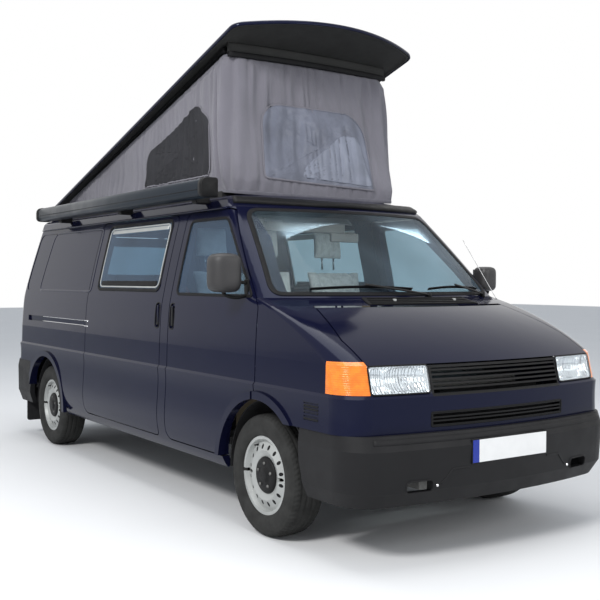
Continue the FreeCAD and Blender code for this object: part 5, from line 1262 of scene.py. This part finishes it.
@dataclass
class Nose:
    """Front details: lamps, grille edge, number plate, bumper creases and towing points."""

    skins: Skins
    plate_width: float = 0.52
    plate_height: float = 0.11
    plate_z: float = 0.53

    def plate(self) -> None:
        """A bare plate with its plain band, in a black holder in the bumper's recess."""
        x = FRONT_AXLE + 0.9185
        w, h, z = 0.5 * self.plate_width, 0.5 * self.plate_height, self.plate_z
        rounded_box("front_plate_holder", (x - 0.0012, -w - 0.006, z - h - 0.006),
                    (x + 0.0048, w + 0.006, z + h + 0.006),
                    0.003, MOULDING, "van")
        rounded_box("front_plate", (x + 0.004, -w + 0.042, z - h), (x + 0.0068, w, z + h), 0.002, PLATE,
                    "van")
        rounded_box("front_plate_band", (x + 0.004, -w, z - h), (x + 0.0068, -w + 0.0415, z + h), 0.002,
                    PLATE_BAND,
                    "van")

    def bumper(self) -> None:
        """Creases beside the plate, the towing points with their recesses, and the ridge along the top."""
        nose = self.skins.nose
        for name, sign in SIDES.items():
            y = sign * np.concatenate([np.linspace(0.275, 0.36, 8), np.linspace(0.366, 0.375, 3),
                                       np.linspace(0.41, 0.44, 4)])
            z = np.concatenate([np.full(8, 0.458), np.full(3, 0.456), np.linspace(0.418, 0.392, 4)])
            places = curve(np.stack([y, z], axis=1), 60)
            nose.strip(f"bumper_crease_{name}", places, 0.010, 0.007, BUMPER, "van", closed=False,
                       power=2.0)
            oval = outline([(sign * 0.485, 0.358, 0.028), (sign * 0.485, 0.417, 0.028),
                            (sign * 0.635, 0.417, 0.028), (sign * 0.635, 0.358, 0.028)])
            nose.strip(f"tow_recess_lip_{name}", oval, 0.008, 0.010, BUMPER, "van", power=2.0)
            spot = nose.at(np.array(sign * 0.462), np.array(0.386)) - (0.005, 0, 0)
            lathe(f"tow_screw_{name}", [(0, 0.010), (0.004, 0.010), (0.0075, 0.007), (0.0085, 0.0),
                                        (0, 0.0)], spot,
                  BRIGHT, "van", 20, "x")
        y = np.linspace(-0.80, 0.80, 90)
        nose.strip("bumper_top_ridge", np.stack([y, np.full_like(y, 0.606)], axis=1), 0.030, 0.010, BUMPER,
                   "van",
                   closed=False, proud=-0.001, power=2.2)

    def build(self) -> None:
        """Builds the nose's pieces."""
        lenses = [Headlamp(self.skins, side).build() for side in SIDES]
        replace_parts(join("headlamp_lenses", lenses), "headlamps")
        self.plate()
        self.bumper()
        box = outline([(-0.462, 0.659, 0.008), (-0.462, 0.728, 0.008), (0.462, 0.728, 0.008),
                       (0.462, 0.659, 0.008)])
        self.skins.front.strip("lower_grille_edge", box, 0.007, 0.006, SEAL, "van")


@dataclass
class Mirror:
    """A door mirror: a rounded housing on a straight upper and a bent lower arm."""

    side: str
    x: float = FRONT_AXLE - 0.225
    y: float = 0.995
    z: float = 1.395
    half: tuple[float, float, float] = (0.05, 0.086, 0.106)

    def build(self) -> None:
        """Builds housing, glass and arms.

        Formula: the housing's rows are superellipses in plan, full at the front and flat behind, shrunk at the
        top and foot by (1 - w^6)^(1/3).
        """
        sign, body = SIDES[self.side], f"front_{self.side}_door"
        w = np.sin(0.5 * np.pi * np.linspace(-1, 1, 40))[:, None]
        turn = 2 * np.pi * np.arange(72) / 72
        c, s = np.cos(turn)[None], np.sin(turn)[None]
        fall = np.clip(1 - np.abs(w) ** 6, 0, 1) ** (1 / 3)
        across = np.sign(c) * np.abs(c) ** (2 / 3.2) * self.half[1] * fall
        reach = np.where(s > 0, 1.55 * self.half[0], 0.75 * self.half[0])
        along = np.sign(s) * np.abs(s) ** np.where(s > 0, 0.8, 0.35) * reach * (0.25 + 0.75 * fall)
        tilt = -0.25 * across
        grid = np.stack([self.x + along + tilt * 0.5, sign * (self.y + across), self.z + self.half[2] * w
                         + 0 * across], axis=-1)
        shell = surface(f"mirror_housing_{self.side}", grid, MIRROR_SHELL, body, wrap_columns=True)
        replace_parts(shell, f"mirror_{self.side}")
        y0, y1 = sorted((sign * (self.y - 0.79 * self.half[1]), sign * (self.y + 0.79 * self.half[1])))
        rounded_box(f"mirror_glass_{self.side}", (self.x - 0.0405, y0, self.z - 0.78 * self.half[2]),
                    (self.x - 0.0365, y1, self.z + 0.78 * self.half[2]), 0.0015, BRIGHT, body)
        door = sign * 0.868
        upper = curve([(self.x + 0.03, door, 1.338), (self.x + 0.02, sign * 0.93, 1.352),
                       (self.x, sign * 0.985, 1.36)], 16)
        lower = curve([(self.x + 0.03, door, 1.272), (self.x + 0.025, sign * 0.93, 1.262),
                       (self.x + 0.01, sign * 0.985, 1.274), (self.x, sign * 1.01, 1.31)], 24)
        arms = [sweep(f"arm_{i}", ring_section(0.024, 0.017, 14, 3.0), path, np.array([0.3, 0.0, 1.0]),
                      MOULDING,
                      body) for i, path in enumerate((upper, lower))]
        plate = rounded_box("plate", *self.span(self.x + 0.012, self.x + 0.052, door, 0.007, 1.245, 1.362),
                            0.006,
                            MOULDING, body)
        join(f"mirror_arms_{self.side}", [plate, *arms])

    @staticmethod
    def span(x0: float, x1: float, y: float, half: float, z0: float, z1: float) -> tuple[Array, Array]:
        """Low and high corners of a box about a place across the vehicle."""
        return np.array((x0, y - half, z0)), np.array((x1, y + half, z1))


@dataclass
class Wipers:
    """Two parked wipers on the screen's foot, and the aerial on the left wing."""

    skins: Skins

    def build(self) -> None:
        """Builds arms, blades and the aerial, which stand for the plain ones."""
        front, parts = self.skins.front, []
        for k, (y0, y1, pivot) in enumerate(((0.66, 0.16, 0.70), (0.03, -0.60, 0.13))):
            y = np.linspace(y0, y1, 40)
            z = 1.300 + 0.012 * np.sin(np.pi * (y0 - y) / (y0 - y1))
            path, normal = front.at(y, z), front.normal(y, z)
            blade = sweep(f"blade_{k}", ring_section(0.006, 0.020, 10, 3.0), path + 0.014 * normal, normal,
                          SEAL, "van")
            ya, za = np.linspace(pivot, 0.5 * (y0 + y1), 24), np.linspace(BELT, 1.314, 24)
            out = front.normal(ya, za)
            lift = 0.014 + 0.016 * np.linspace(0, 1, 24) ** 0.5
            arm = sweep(f"arm_{k}", ring_section(0.016, 0.008, 10, 3.0),
                        front.at(ya, za) + out * lift[:, None],
                        out, MOULDING, "van")
            boss = lathe(f"boss_{k}", [(0, 0.030), (0.010, 0.028), (0.014, 0.020), (0.014, -0.02),
                                       (0, -0.02)],
                         front.at(np.array(pivot), np.array(BELT)), MOULDING, "van", 24, "z")
            parts += [blade, arm, boss]
        base = np.array([FRONT_AXLE + 0.06, 0.829, 1.200])
        lean = np.array([-0.62, 0.0, 0.78])
        rod = [base + lean * d for d in np.linspace(0, 0.545, 12)]
        parts.append(tube("rod", rod, 0.0022, BRIGHT, "van", up=(0, 1, 0)))
        parts.append(sweep("foot", ring_section(0.03, 0.03, 20, 2.0),
                           np.array([base - lean * 0.01, base + lean * 0.028]),
                           np.array([0.0, 1.0, 0.0]), MOULDING, "van"))
        parts.append(tube("sleeve", [base + lean * 0.02, base + lean * 0.06], 0.0045, MOULDING, "van",
                          up=(0, 1, 0)))
        whole = join("wipers_and_whip", parts)
        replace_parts(whole, "wipers_and_aerial")


@dataclass
class Tail:
    """Rear details: bare plate, handle, wiper and the bands of the tail lamps."""

    skins: Skins

    def build(self) -> None:
        """Builds the tail's pieces."""
        rear = self.skins.rear
        floor = float(rear.at(np.array(0.0), np.array(0.845))[0])
        rounded_box("rear_plate", (floor - 0.004, -0.258, 0.790), (floor + 0.0005, 0.258, 0.900), 0.002,
                    PLATE, "tailgate")
        rounded_box("rear_handle", (floor - 0.032, -0.16, 0.912), (floor - 0.006, 0.16, 0.944), 0.010,
                    MOULDING, "tailgate")
        y = np.linspace(-0.04, 0.30, 30)
        z = np.full_like(y, 1.315)
        path, normal = rear.at(y, z), rear.normal(y, z)
        blade = sweep("blade", ring_section(0.006, 0.018, 10, 3.0), path + 0.014 * normal, normal, SEAL,
                      "tailgate")
        ya, za = np.linspace(-0.06, 0.14, 20), np.linspace(1.245, 1.318, 20)
        arm = sweep("arm", ring_section(0.014, 0.008, 10, 3.0),
                    rear.at(ya, za) + rear.normal(ya, za) * 0.028,
                    rear.normal(ya, za), MOULDING, "tailgate")
        boss = lathe("boss", [(0, 0.034), (0.012, 0.032), (0.017, 0.022), (0.017, -0.004), (0, -0.004)],
                     rear.at(np.array(-0.06), np.array(1.245)), MOULDING, "tailgate", 24, "x", -1)
        join("rear_wiper", [blade, arm, boss])
        for name, sign in SIDES.items():
            for k, (low, high, finish) in enumerate(((0.945, 1.005, PLATE), (1.215, 1.288, AMBER))):
                band = outline([(sign * 0.705, low, 0.012), (sign * 0.705, high, 0.012),
                                (sign * 0.79, high, 0.012),
                                (sign * 0.79, low, 0.012)])
                rear.panel(f"tail_lamp_band_{name}_{k}", band, 0.003, finish, "van")


@dataclass
class Awning:
    """The rolled awning: a slim case with end caps, seams and brackets, in place of the plain one."""

    front: float = FRONT_AXLE - 0.60
    back: float = FRONT_AXLE - 3.50
    outer: float = -0.929
    inner: float = -0.822
    low: float = GUTTER + 0.052
    high: float = GUTTER + 0.160
    cap: float = 0.045

    def section(self, grow: float) -> Array:
        """The case's rounded section, (y, z), grown all round."""
        y0, y1, z0, z1 = self.outer - grow, self.inner + grow, self.low - grow, self.high + grow
        line = outline([(y0, z0, 0.036), (y0, z1, 0.050), (y1, z1, 0.020), (y1, z0, 0.014)], 10)
        return line[::-1]

    def bar(self, name: str, x0: float, x1: float, grow: float, finish: Finish) -> bpy.types.Object:
        """A length of the section with rounded ends."""
        line = self.section(grow)
        middle = line.mean(axis=0)
        rows = [(x0, 0.0), (x0, 0.93), (x0 + 0.004, 1.0), (x1 - 0.004, 1.0), (x1, 0.93), (x1, 0.0)]
        grid = np.stack([np.column_stack([np.full(len(line), x), middle + k * (line - middle)]) for x,
                         k in rows])
        return surface(name, grid, finish, "van", wrap_columns=True)

    def build(self) -> None:
        """Builds case, caps, seams and brackets."""
        case = self.bar("awning_body", self.back + self.cap, self.front - self.cap, 0.0, AWNING)
        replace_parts(case, "awning_case")
        caps = join("awning_caps", [self.bar("cap", self.back, self.back + self.cap, 0.0035, MOULDING),
                                    self.bar("cap", self.front - self.cap, self.front, 0.0035, MOULDING)])
        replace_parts(caps, "awning_fittings")
        x = np.linspace(self.back + 0.05, self.front - 0.05, 8)
        seams = []
        for y, z, up in ((self.outer - 0.0004, self.low + 0.040, (0, -1, 0)),
                         (self.outer + 0.030, self.high - 0.0060,
                         (0, -0.7, 0.7)), (self.inner - 0.030, self.high, (0, 0, 1))):
            path = np.stack([x, np.full_like(x, y), np.full_like(x, z)], axis=1)
            seams.append(sweep("seam", ring_section(0.004, 0.0028, 8, 3.0), path, np.array(up, float),
                               SEAL, "van"))
        join("awning_seams", seams)
        feet = [rounded_box("foot", (a, self.inner - 0.004, GUTTER + 0.030),
                            (a + 0.06, -0.730, GUTTER + 0.098), 0.008,
                            MOULDING, "van") for a in (self.back + 0.25, 0.5 * (self.back + self.front),
                                                       self.front - 0.32)]
        join("awning_brackets", feet)


@dataclass
class Seats:
    """Stuffed seats: driver's seat, double passenger seat and rear bench, as sewn pads that swell."""

    seat_x: float = FRONT_AXLE - 1.03
    z: float = 0.7705

    @staticmethod
    def apply(piece: bpy.types.Object, name: str) -> None:
        """Applies one modifier of a piece."""
        bpy.ops.object.select_all(action="DESELECT")
        bpy.context.view_layer.objects.active = piece
        piece.select_set(True)
        bpy.ops.object.modifier_apply(modifier=name)

    @staticmethod
    def places(piece: bpy.types.Object) -> Array:
        """The places of a piece's vertices."""
        out = np.empty(3 * len(piece.data.vertices))
        piece.data.vertices.foreach_get("co", out)
        return out.reshape(-1, 3)

    def stuff(self, piece: bpy.types.Object, voxel: float = 0.014, reach: float = 0.022,
              frames: int = 20) -> None:
        """Swells a pad as stuffed cloth, caps how far each vertex went, and subdivides it once.

        Args:
            piece: the pad.
            voxel: size of the remesh, in metres.
            reach: the longest way of a vertex.
            frames: how long the cloth swells.
        """
        remesh = piece.modifiers.new("remesh", "REMESH")
        remesh.mode, remesh.voxel_size = "VOXEL", voxel
        self.apply(piece, remesh.name)
        start = self.places(piece)
        cloth = piece.modifiers.new("cloth", "CLOTH")
        cloth.settings.use_pressure = True
        cloth.settings.uniform_pressure_force = 4
        cloth.settings.effector_weights.gravity = 0
        cloth.settings.quality = 4
        cloth.point_cache.frame_start, cloth.point_cache.frame_end = 1, frames
        for number in range(1, frames + 1):
            bpy.context.scene.frame_set(number)
        self.apply(piece, cloth.name)
        bpy.context.scene.frame_set(1)
        move = self.places(piece) - start
        length = np.linalg.norm(move, axis=1, keepdims=True)
        move *= np.minimum(1, reach / np.maximum(length, 1e-9))
        piece.data.vertices.foreach_set("co", (start + move).ravel())
        finer = piece.modifiers.new("finer", "SUBSURF")
        finer.levels = finer.render_levels = 1
        self.apply(piece, finer.name)

    def sew(self, piece: bpy.types.Object, middle: Array, half: float, across: Array,
            lines: Sequence[float]) -> None:
        """Draws sewn channels into a pad.

        Formula: each vertex sinks along its normal by 10 mm * exp(-(d / 10 mm)^2), where d is its distance from
        the nearest seam across the pad.
        """
        points = self.places(piece)
        normals = np.empty(points.size)
        piece.data.vertices.foreach_get("normal", normals)
        along = (points - middle) @ across
        depth = sum((0.010 * np.exp(-((along - half * line) / 0.010) ** 2) for line in lines),
                    np.zeros(len(points)))
        piece.data.vertices.foreach_set("co", (points - depth[:, None] * normals.reshape(-1, 3)).ravel())
        piece.data.update()
        piece.data.polygons.foreach_set("use_smooth", np.ones(len(piece.data.polygons), bool))

    def cushion(self, name: str, centre: Sequence[float], half: Sequence[float], lean: Optional[Array],
                finish: Finish, channels: Sequence[float]) -> bpy.types.Object:
        """One stuffed pad, level or leaning back.

        Args:
            name: its name.
            centre: its middle.
            half: half sizes along its length, width and thickness.
            lean: the way up of a leaning pad, or None for a level one.
            finish: its cloth.
            channels: sewn grooves across its width.

        Returns:
            The pad.
        """
        u = np.array([1.0, 0, 0]) if lean is None else lean
        v = np.array([0, 1.0, 0]) if lean is None else np.array([0, -1.0, 0])
        start = np.array(half) - (0.013, 0.013, 0.014)
        piece = pad(name, centre, start, u, v, 0.010, finish, "van", ())
        self.stuff(piece)
        self.sew(piece, np.array(centre), half[1], v, channels)
        return piece

    def build(self) -> None:
        """Builds every seat and lets them stand for the plain blocks."""
        x, z = self.seat_x, self.z
        lean = np.array([-0.165, 0.0, 0.575])
        front, rows = [], (("driver", 0.44, 0.250, (-0.55, 0.55)),
                           ("passenger", -0.305, 0.405, (-0.66, 0.0, 0.66)))
        for name, y, half, channels in rows:
            front.append(self.cushion(f"{name}_cushion", (x + 0.215, y, z + 0.068), (0.245, half, 0.056),
                                      None,
                                      SEAT_CLOTH, channels))
            front.append(self.cushion(f"{name}_back", (x - 0.088, y, z + 0.415), (0.275, half, 0.042), lean,
                                      SEAT_CLOTH, channels))
        stems = []
        for name, y in (("driver", 0.42), ("middle", -0.12), ("outer", -0.52)):
            front.append(self.cushion(f"{name}_headrest", (x - 0.200, y, z + 0.835), (0.108, 0.128, 0.044),
                                      np.array([-0.10, 0, 0.9]), SEAT_CLOTH, ()))
            stems += [tube("stem", [(x - 0.186, y + d, z + 0.665), (x - 0.192, y + d, z + 0.765)], 0.0065,
                           BRIGHT,
                           "van", up=(0, 1, 0)) for d in (-0.05, 0.05)]
        join("headrest_stems", stems)
        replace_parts(front[0], "cab_seats")
        rear = [self.cushion("bench_cushion", (REAR_AXLE + 0.105, 0.0, 0.868), (0.215, 0.55, 0.056), None,
                             BENCH_CLOTH,
                             (-0.34, 0.34)),
                self.cushion("bench_back", (REAR_AXLE - 0.235, 0.0, 1.190), (0.262, 0.55, 0.040),
                             np.array([-0.125, 0, 0.54]), BENCH_CLOTH, (-0.34, 0.34))]
        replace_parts(rear[0], "rear_bench")


@dataclass
class Cab:
    """Inside fittings: smooth steering wheel, hood, console, visor, inside mirror and window blinds."""

    skins: Skins
    wheel_x: float = FRONT_AXLE - 0.53
    rake: float = math.radians(62)

    def steering_wheel(self) -> None:
        """Rim, four-cornered hub pad and three spokes."""
        centre = np.array([self.wheel_x, 0.44, 1.09])
        axis = np.array([-math.sin(self.rake), 0, math.cos(self.rake)])
        low = np.array([-math.cos(self.rake), 0, -math.sin(self.rake)])
        across = np.array([0.0, 1.0, 0.0])
        turn = 2 * np.pi * np.arange(96) / 96
        ring = centre + 0.184 * (np.cos(turn)[:, None] * low + np.sin(turn)[:, None] * across)
        rim = sweep("rim", ring_section(0.028, 0.026, 14, 2.2), ring, axis, DASH, "steering_wheel",
                    closed=True)
        parts = [rim]
        for degrees in (90, 270, 0):
            way = math.cos(math.radians(degrees)) * low + math.sin(math.radians(degrees)) * across
            path = np.stack([centre - 0.012 * axis + way * r for r in np.linspace(0.03, 0.178, 10)])
            parts.append(sweep("spoke", ring_section(0.034, 0.014, 12, 3.0), path, axis, DASH,
                               "steering_wheel"))
        hub = [(0, 0.012), (0.045, 0.008), (0.066, -0.002), (0.072, -0.016), (0.060, -0.034), (0, -0.034)]
        grid = lathe_grid(hub, (0, 0, 0), 48, "z")
        basis = np.stack([low, across, axis])
        parts.append(surface("hub", grid @ basis + centre, DASH, "steering_wheel", wrap_columns=True))
        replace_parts(join("steering_wheel_smooth", parts), "steering_wheel")

    def fittings(self) -> None:
        """Instrument hood, console, dashboard top, sun visor and inside mirror."""
        fa = FRONT_AXLE
        rounded_box("instrument_hood", (fa - 0.30, 0.24, 1.14), (fa - 0.10, 0.64, 1.238), 0.035, DASH,
                    "van")
        rounded_box("centre_console", (fa - 0.315, -0.13, 0.90), (fa - 0.20, 0.16, 1.16), 0.03, DASH, "van")
        rounded_box("dashboard_top", (fa - 0.27, -0.68, 1.165), (fa - 0.02, 0.22, 1.196), 0.014, DASH,
                    "van")
        rounded_box("sun_visor", (fa - 0.63, -0.60, 1.655), (fa - 0.585, 0.10, 1.75), 0.012, SHELL_LINING,
                    "van")
        rounded_box("inside_mirror", (fa - 0.60, -0.02, 1.60), (fa - 0.575, 0.2, 1.66), 0.010,
                    SHELL_LINING, "van")

    def blinds(self) -> None:
        """Pale roller blinds at the head and dark sills at the foot of the load space's side windows."""
        side = self.skins.side
        for name, sign in SIDES.items():
            for label, low, high, finish in (("blind", 1.685, 1.728, PLATE), ("ledge", 1.300, 1.330, SEAL)):
                x = np.linspace(FRONT_AXLE - 2.25, FRONT_AXLE - 1.33, 30)
                z = np.full_like(x, 0.5 * (low + high))
                path = side.at(x, z)
                path[:, 1] += 0.016
                normal = side.normal(x, z)
                if sign > 0:
                    path, normal = path * (1, -1, 1), normal * (1, -1, 1)
                sweep(f"window_{label}_{name}", ring_section(high - low, 0.008, 12, 6.0), path, normal,
                      finish, "van")

    def build(self) -> None:
        """Builds the cab's fittings."""
        self.steering_wheel()
        self.fittings()
        self.blinds()


@dataclass
class LiftingRoof:
    """The lifting roof's shell: a shallow crowned lid with bowed nose and dark lining, hinged at the tail."""

    tent: Tent
    nose: float = FRONT_AXLE - 0.318
    bow: float = 0.37
    half: float = 0.697
    tail: float = -2.415
    foot: float = 1.913
    rise: float = 0.0142
    bend: float = 0.055
    border: float = 0.2

    def front(self, y: Array) -> Array:
        """The nose's place along the vehicle: nose - bow y^2."""
        return self.nose - self.bow * y**2

    @staticmethod
    def turn(start: Array, corner: Array, end: Array, steps: int = 9) -> Array:
        """A rounded corner as a curve of the second degree."""
        u = np.linspace(0, 1, steps)[:, None]
        return (1 - u) ** 2 * start + 2 * u * (1 - u) * corner + u**2 * end

    def plan(self) -> Array:
        """The rim's closed outline, (x, y), in the closed position: bowed nose, straight sides, square tail."""
        h, b = self.half, self.bend
        y = np.linspace(0, h - b, 22)
        nose = np.stack([self.front(y), y], axis=1)
        corner = np.array([float(self.front(np.array(h))), h])
        shoulder = self.turn(nose[-1], corner, corner - (b, 0))
        side = np.linspace(corner - (b, 0), (self.tail + b, h), 60)
        back = self.turn(side[-1], np.array([self.tail, h]), np.array([self.tail, h - b]))
        end = np.linspace(back[-1], (self.tail, 0.0), 12)
        half = np.concatenate([nose, shoulder[1:], side[1:], back[1:], end[1:]])
        return np.concatenate([half, (half * (1, -1))[-2:0:-1]])

    def raise_up(self, x: Array, y: Array, z: Array) -> Array:
        """Points of the closed roof turned up about its hinge."""
        hx, hz = self.tent.hinge
        z = z + self.rise * (x - hx)
        c, s = math.cos(self.tent.rise), math.sin(self.tent.rise)
        return np.stack([hx + (x - hx) * c - (z - hz) * s, y, hz + (x - hx) * s + (z - hz) * c], axis=-1)

    def rings(self, rows: Sequence[tuple[float, float]]) -> Array:
        """Rings of the rim drawn in towards its middle.

        Formula: within the border a ring keeps its distance from the rim on both axes; further in, it shrinks
        as a share of the half width, so that the last ring meets in the middle.

        Args:
            rows: pairs of how far in, in metres from the rim, and the height over the rim.

        Returns:
            (rows, n, 3) points, turned up to the raised position.
        """
        plan = self.plan()
        middle = np.array([0.5 * (self.nose + self.tail), 0.0])
        size = np.array([0.5 * (self.nose - self.tail), self.half])
        out = []
        for inset, height in rows:
            share = inset / (self.half if inset > self.border else size)
            place = middle + (plan - middle) * (1 - np.minimum(1.0, share))
            out.append(self.raise_up(place[:, 0], place[:, 1], np.full(len(place), self.foot + height)))
        return np.stack(out)

    def build(self) -> None:
        """Builds the shell and its lining."""
        crown = [(self.half * k, 0.030 + 0.046 * math.sin(0.5 * math.pi * k) ** 0.9) for k in
                 np.linspace(0.05, 1.0, 24)]
        inside = [(0.008, 0.001), (0.010, 0.010)]
        outer = [(0.008, 0.001), (0.002, -0.001), (0.0, 0.002), (0.0, 0.016), (0.003, 0.023),
                 (0.010, 0.027), *crown]
        shell = surface("lid_shell", self.rings([*outer[::-1], *inside[1:]]), PAINT, "lifting_roof",
                        wrap_columns=True)
        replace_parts(shell, "pop_top_shell")
        dish = [(0.012, 0.003), (0.022, 0.003), (0.026, 0.010), (0.060, 0.012), (0.075, 0.020),
                (0.30, 0.026),
                (self.half, 0.030)]
        over = [(inset, height + 0.003) for inset, height in dish[::-1]]
        surface("lid_lining", self.rings([*dish[::-1], *over[::-1]]), SHELL_LINING, "lifting_roof",
                wrap_columns=True)
        x = FRONT_AXLE - 0.705
        y = np.linspace(-0.615, 0.615, 40)
        for name, low, height, depth, finish in (("tent_front_bar", -0.052, 0.034, 0.030, SEAL),
                                                 ("tent_front_frame", -0.010, 0.066, 0.018, SHELL_LINING)):
            path = self.raise_up(x - 0.02 * (y / 0.6) ** 2 + 0 * y, y, np.full(40, self.foot + low))
            sweep(name, ring_section(depth, height, 12, 5.0), path, np.array([0.0, 0.0, 1.0]), finish,
                  "lifting_roof")


# ---------------------------------------------------------------- stage
@dataclass
class Studio:
    """Pale floor, soft lamps and a pale surround."""

    ground: float = 0.0

    def soft(self, name: str, place: Sequence[float], aim: Sequence[float], size: tuple[float, float],
             power: float) -> bpy.types.Object:
        """A rectangular soft lamp that looks at a point."""
        data = bpy.data.lights.new(name, "AREA")
        data.shape, data.size, data.size_y, data.energy = "RECTANGLE", *size, power
        lamp = bpy.data.objects.new(name, data)
        bpy.context.scene.collection.objects.link(lamp)
        lamp.location = place
        lamp.rotation_euler = (Vector(aim) - Vector(place)).to_track_quat("-Z", "Y").to_euler()
        return lamp

    def surround(self) -> None:
        """White behind the object and in glass and reflections, softer for its lighting."""
        world = bpy.data.worlds.new("surround")
        bpy.context.scene.world = world
        world.use_nodes = True
        nodes, links = world.node_tree.nodes, world.node_tree.links
        nodes.clear()
        out = nodes.new("ShaderNodeOutputWorld")
        path = nodes.new("ShaderNodeLightPath")
        mix = nodes.new("ShaderNodeMixShader")
        either, any_of = (nodes.new("ShaderNodeMath") for _ in range(2))
        either.operation = any_of.operation = "MAXIMUM"
        light, seen = nodes.new("ShaderNodeBackground"), nodes.new("ShaderNodeBackground")
        light.inputs[0].default_value, light.inputs[1].default_value = (0.86, 0.92, 1.0, 1.0), 0.6
        seen.inputs[0].default_value, seen.inputs[1].default_value = (1.0, 1.0, 1.0, 1.0), 1.0
        links.new(path.outputs["Is Camera Ray"], either.inputs[0])
        links.new(path.outputs["Is Glossy Ray"], either.inputs[1])
        links.new(either.outputs[0], any_of.inputs[0])
        links.new(path.outputs["Is Transmission Ray"], any_of.inputs[1])
        links.new(any_of.outputs[0], mix.inputs[0])
        links.new(light.outputs[0], mix.inputs[1])
        links.new(seen.outputs[0], mix.inputs[2])
        links.new(mix.outputs[0], out.inputs[0])

    def build(self) -> None:
        """Builds floor, lamps and surround."""
        floor = add_mesh("studio_floor",
                         np.array([(-40, -40, self.ground), (40, -40, self.ground), (40, 40, self.ground),
                                                   (-40, 40, self.ground)]), np.array([[0, 1, 2, 3]]),
                                                   FLOOR, "",
                         smooth=False)
        floor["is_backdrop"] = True
        self.soft("key", (4.5, -7.5, 6.5), (0, 0, 1.0), (2.4, 1.8), 640)
        self.soft("fill", (8.0, 2.5, 3.5), (1.0, 0, 1.0), (4.0, 3.0), 130)
        self.soft("top", (0.0, -0.5, 7.5), (0, 0, 0), (7.0, 4.0), 260)
        cab = self.soft("cab", (FRONT_AXLE - 0.30, 0.0, 1.64), (FRONT_AXLE - 1.25, 0.0, 1.30), (1.1, 0.12),
                        7)
        cab.visible_camera = cab.visible_glossy = cab.visible_transmission = False
        self.surround()


@dataclass
class Camera:
    """A fixed camera in front of the vehicle's right corner."""

    place: tuple[float, float, float] = (5.7686, -3.4715, 1.3508)
    heading: float = math.radians(145.741)
    pitch: float = math.radians(-1.149)
    roll: float = math.radians(0.236)
    lens: float = 55.64

    def build(self) -> None:
        """Builds the camera and makes it the scene's."""
        ahead = Vector((math.cos(self.pitch) * math.cos(self.heading),
                        math.cos(self.pitch) * math.sin(self.heading),
                        math.sin(self.pitch)))
        right = ahead.cross(Vector((0, 0, 1))).normalized()
        up = right.cross(ahead)
        turn = Matrix((right, up, -ahead)).transposed().to_4x4() @ Matrix.Rotation(self.roll, 4, "Z")
        data = bpy.data.cameras.new("camera")
        data.lens, data.sensor_width, data.clip_end = self.lens, 36.0, 200.0
        camera = bpy.data.objects.new("camera", data)
        camera.matrix_world = Matrix.Translation(self.place) @ turn
        bpy.context.scene.collection.objects.link(camera)
        bpy.context.scene.camera = camera


def write_size(name: str, sizes: dict[str, list[list[float]]]) -> None:
    """Adds the shown object's box under a name."""
    sizes[name] = [[float(v) for v in corner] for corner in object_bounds()]


def main() -> None:
    """Builds the sub-assemblies in order."""
    logging.basicConfig(level=logging.WARNING)
    sizes: dict[str, list[list[float]]] = {}
    write_size("cad", sizes)
    skins = Skins()
    Coachwork(skins).build()
    for axle in ("front", "rear"):
        for side in SIDES:
            Wheel(axle, side).build()
    tent = Tent()
    tent.build()
    LiftingRoof(tent).build()
    Nose(skins).build()
    Mirror("right").build()
    Mirror("left", y=0.968, z=1.372, half=(0.05, 0.076, 0.080)).build()
    Wipers(skins).build()
    Tail(skins).build()
    Awning().build()
    Seats().build()
    Cab(skins).build()
    Studio().build()
    Camera().build()
    bpy.context.scene.view_settings.view_transform = "Standard"
    write_size("visual", sizes)


if __name__ == "__main__":
    main()
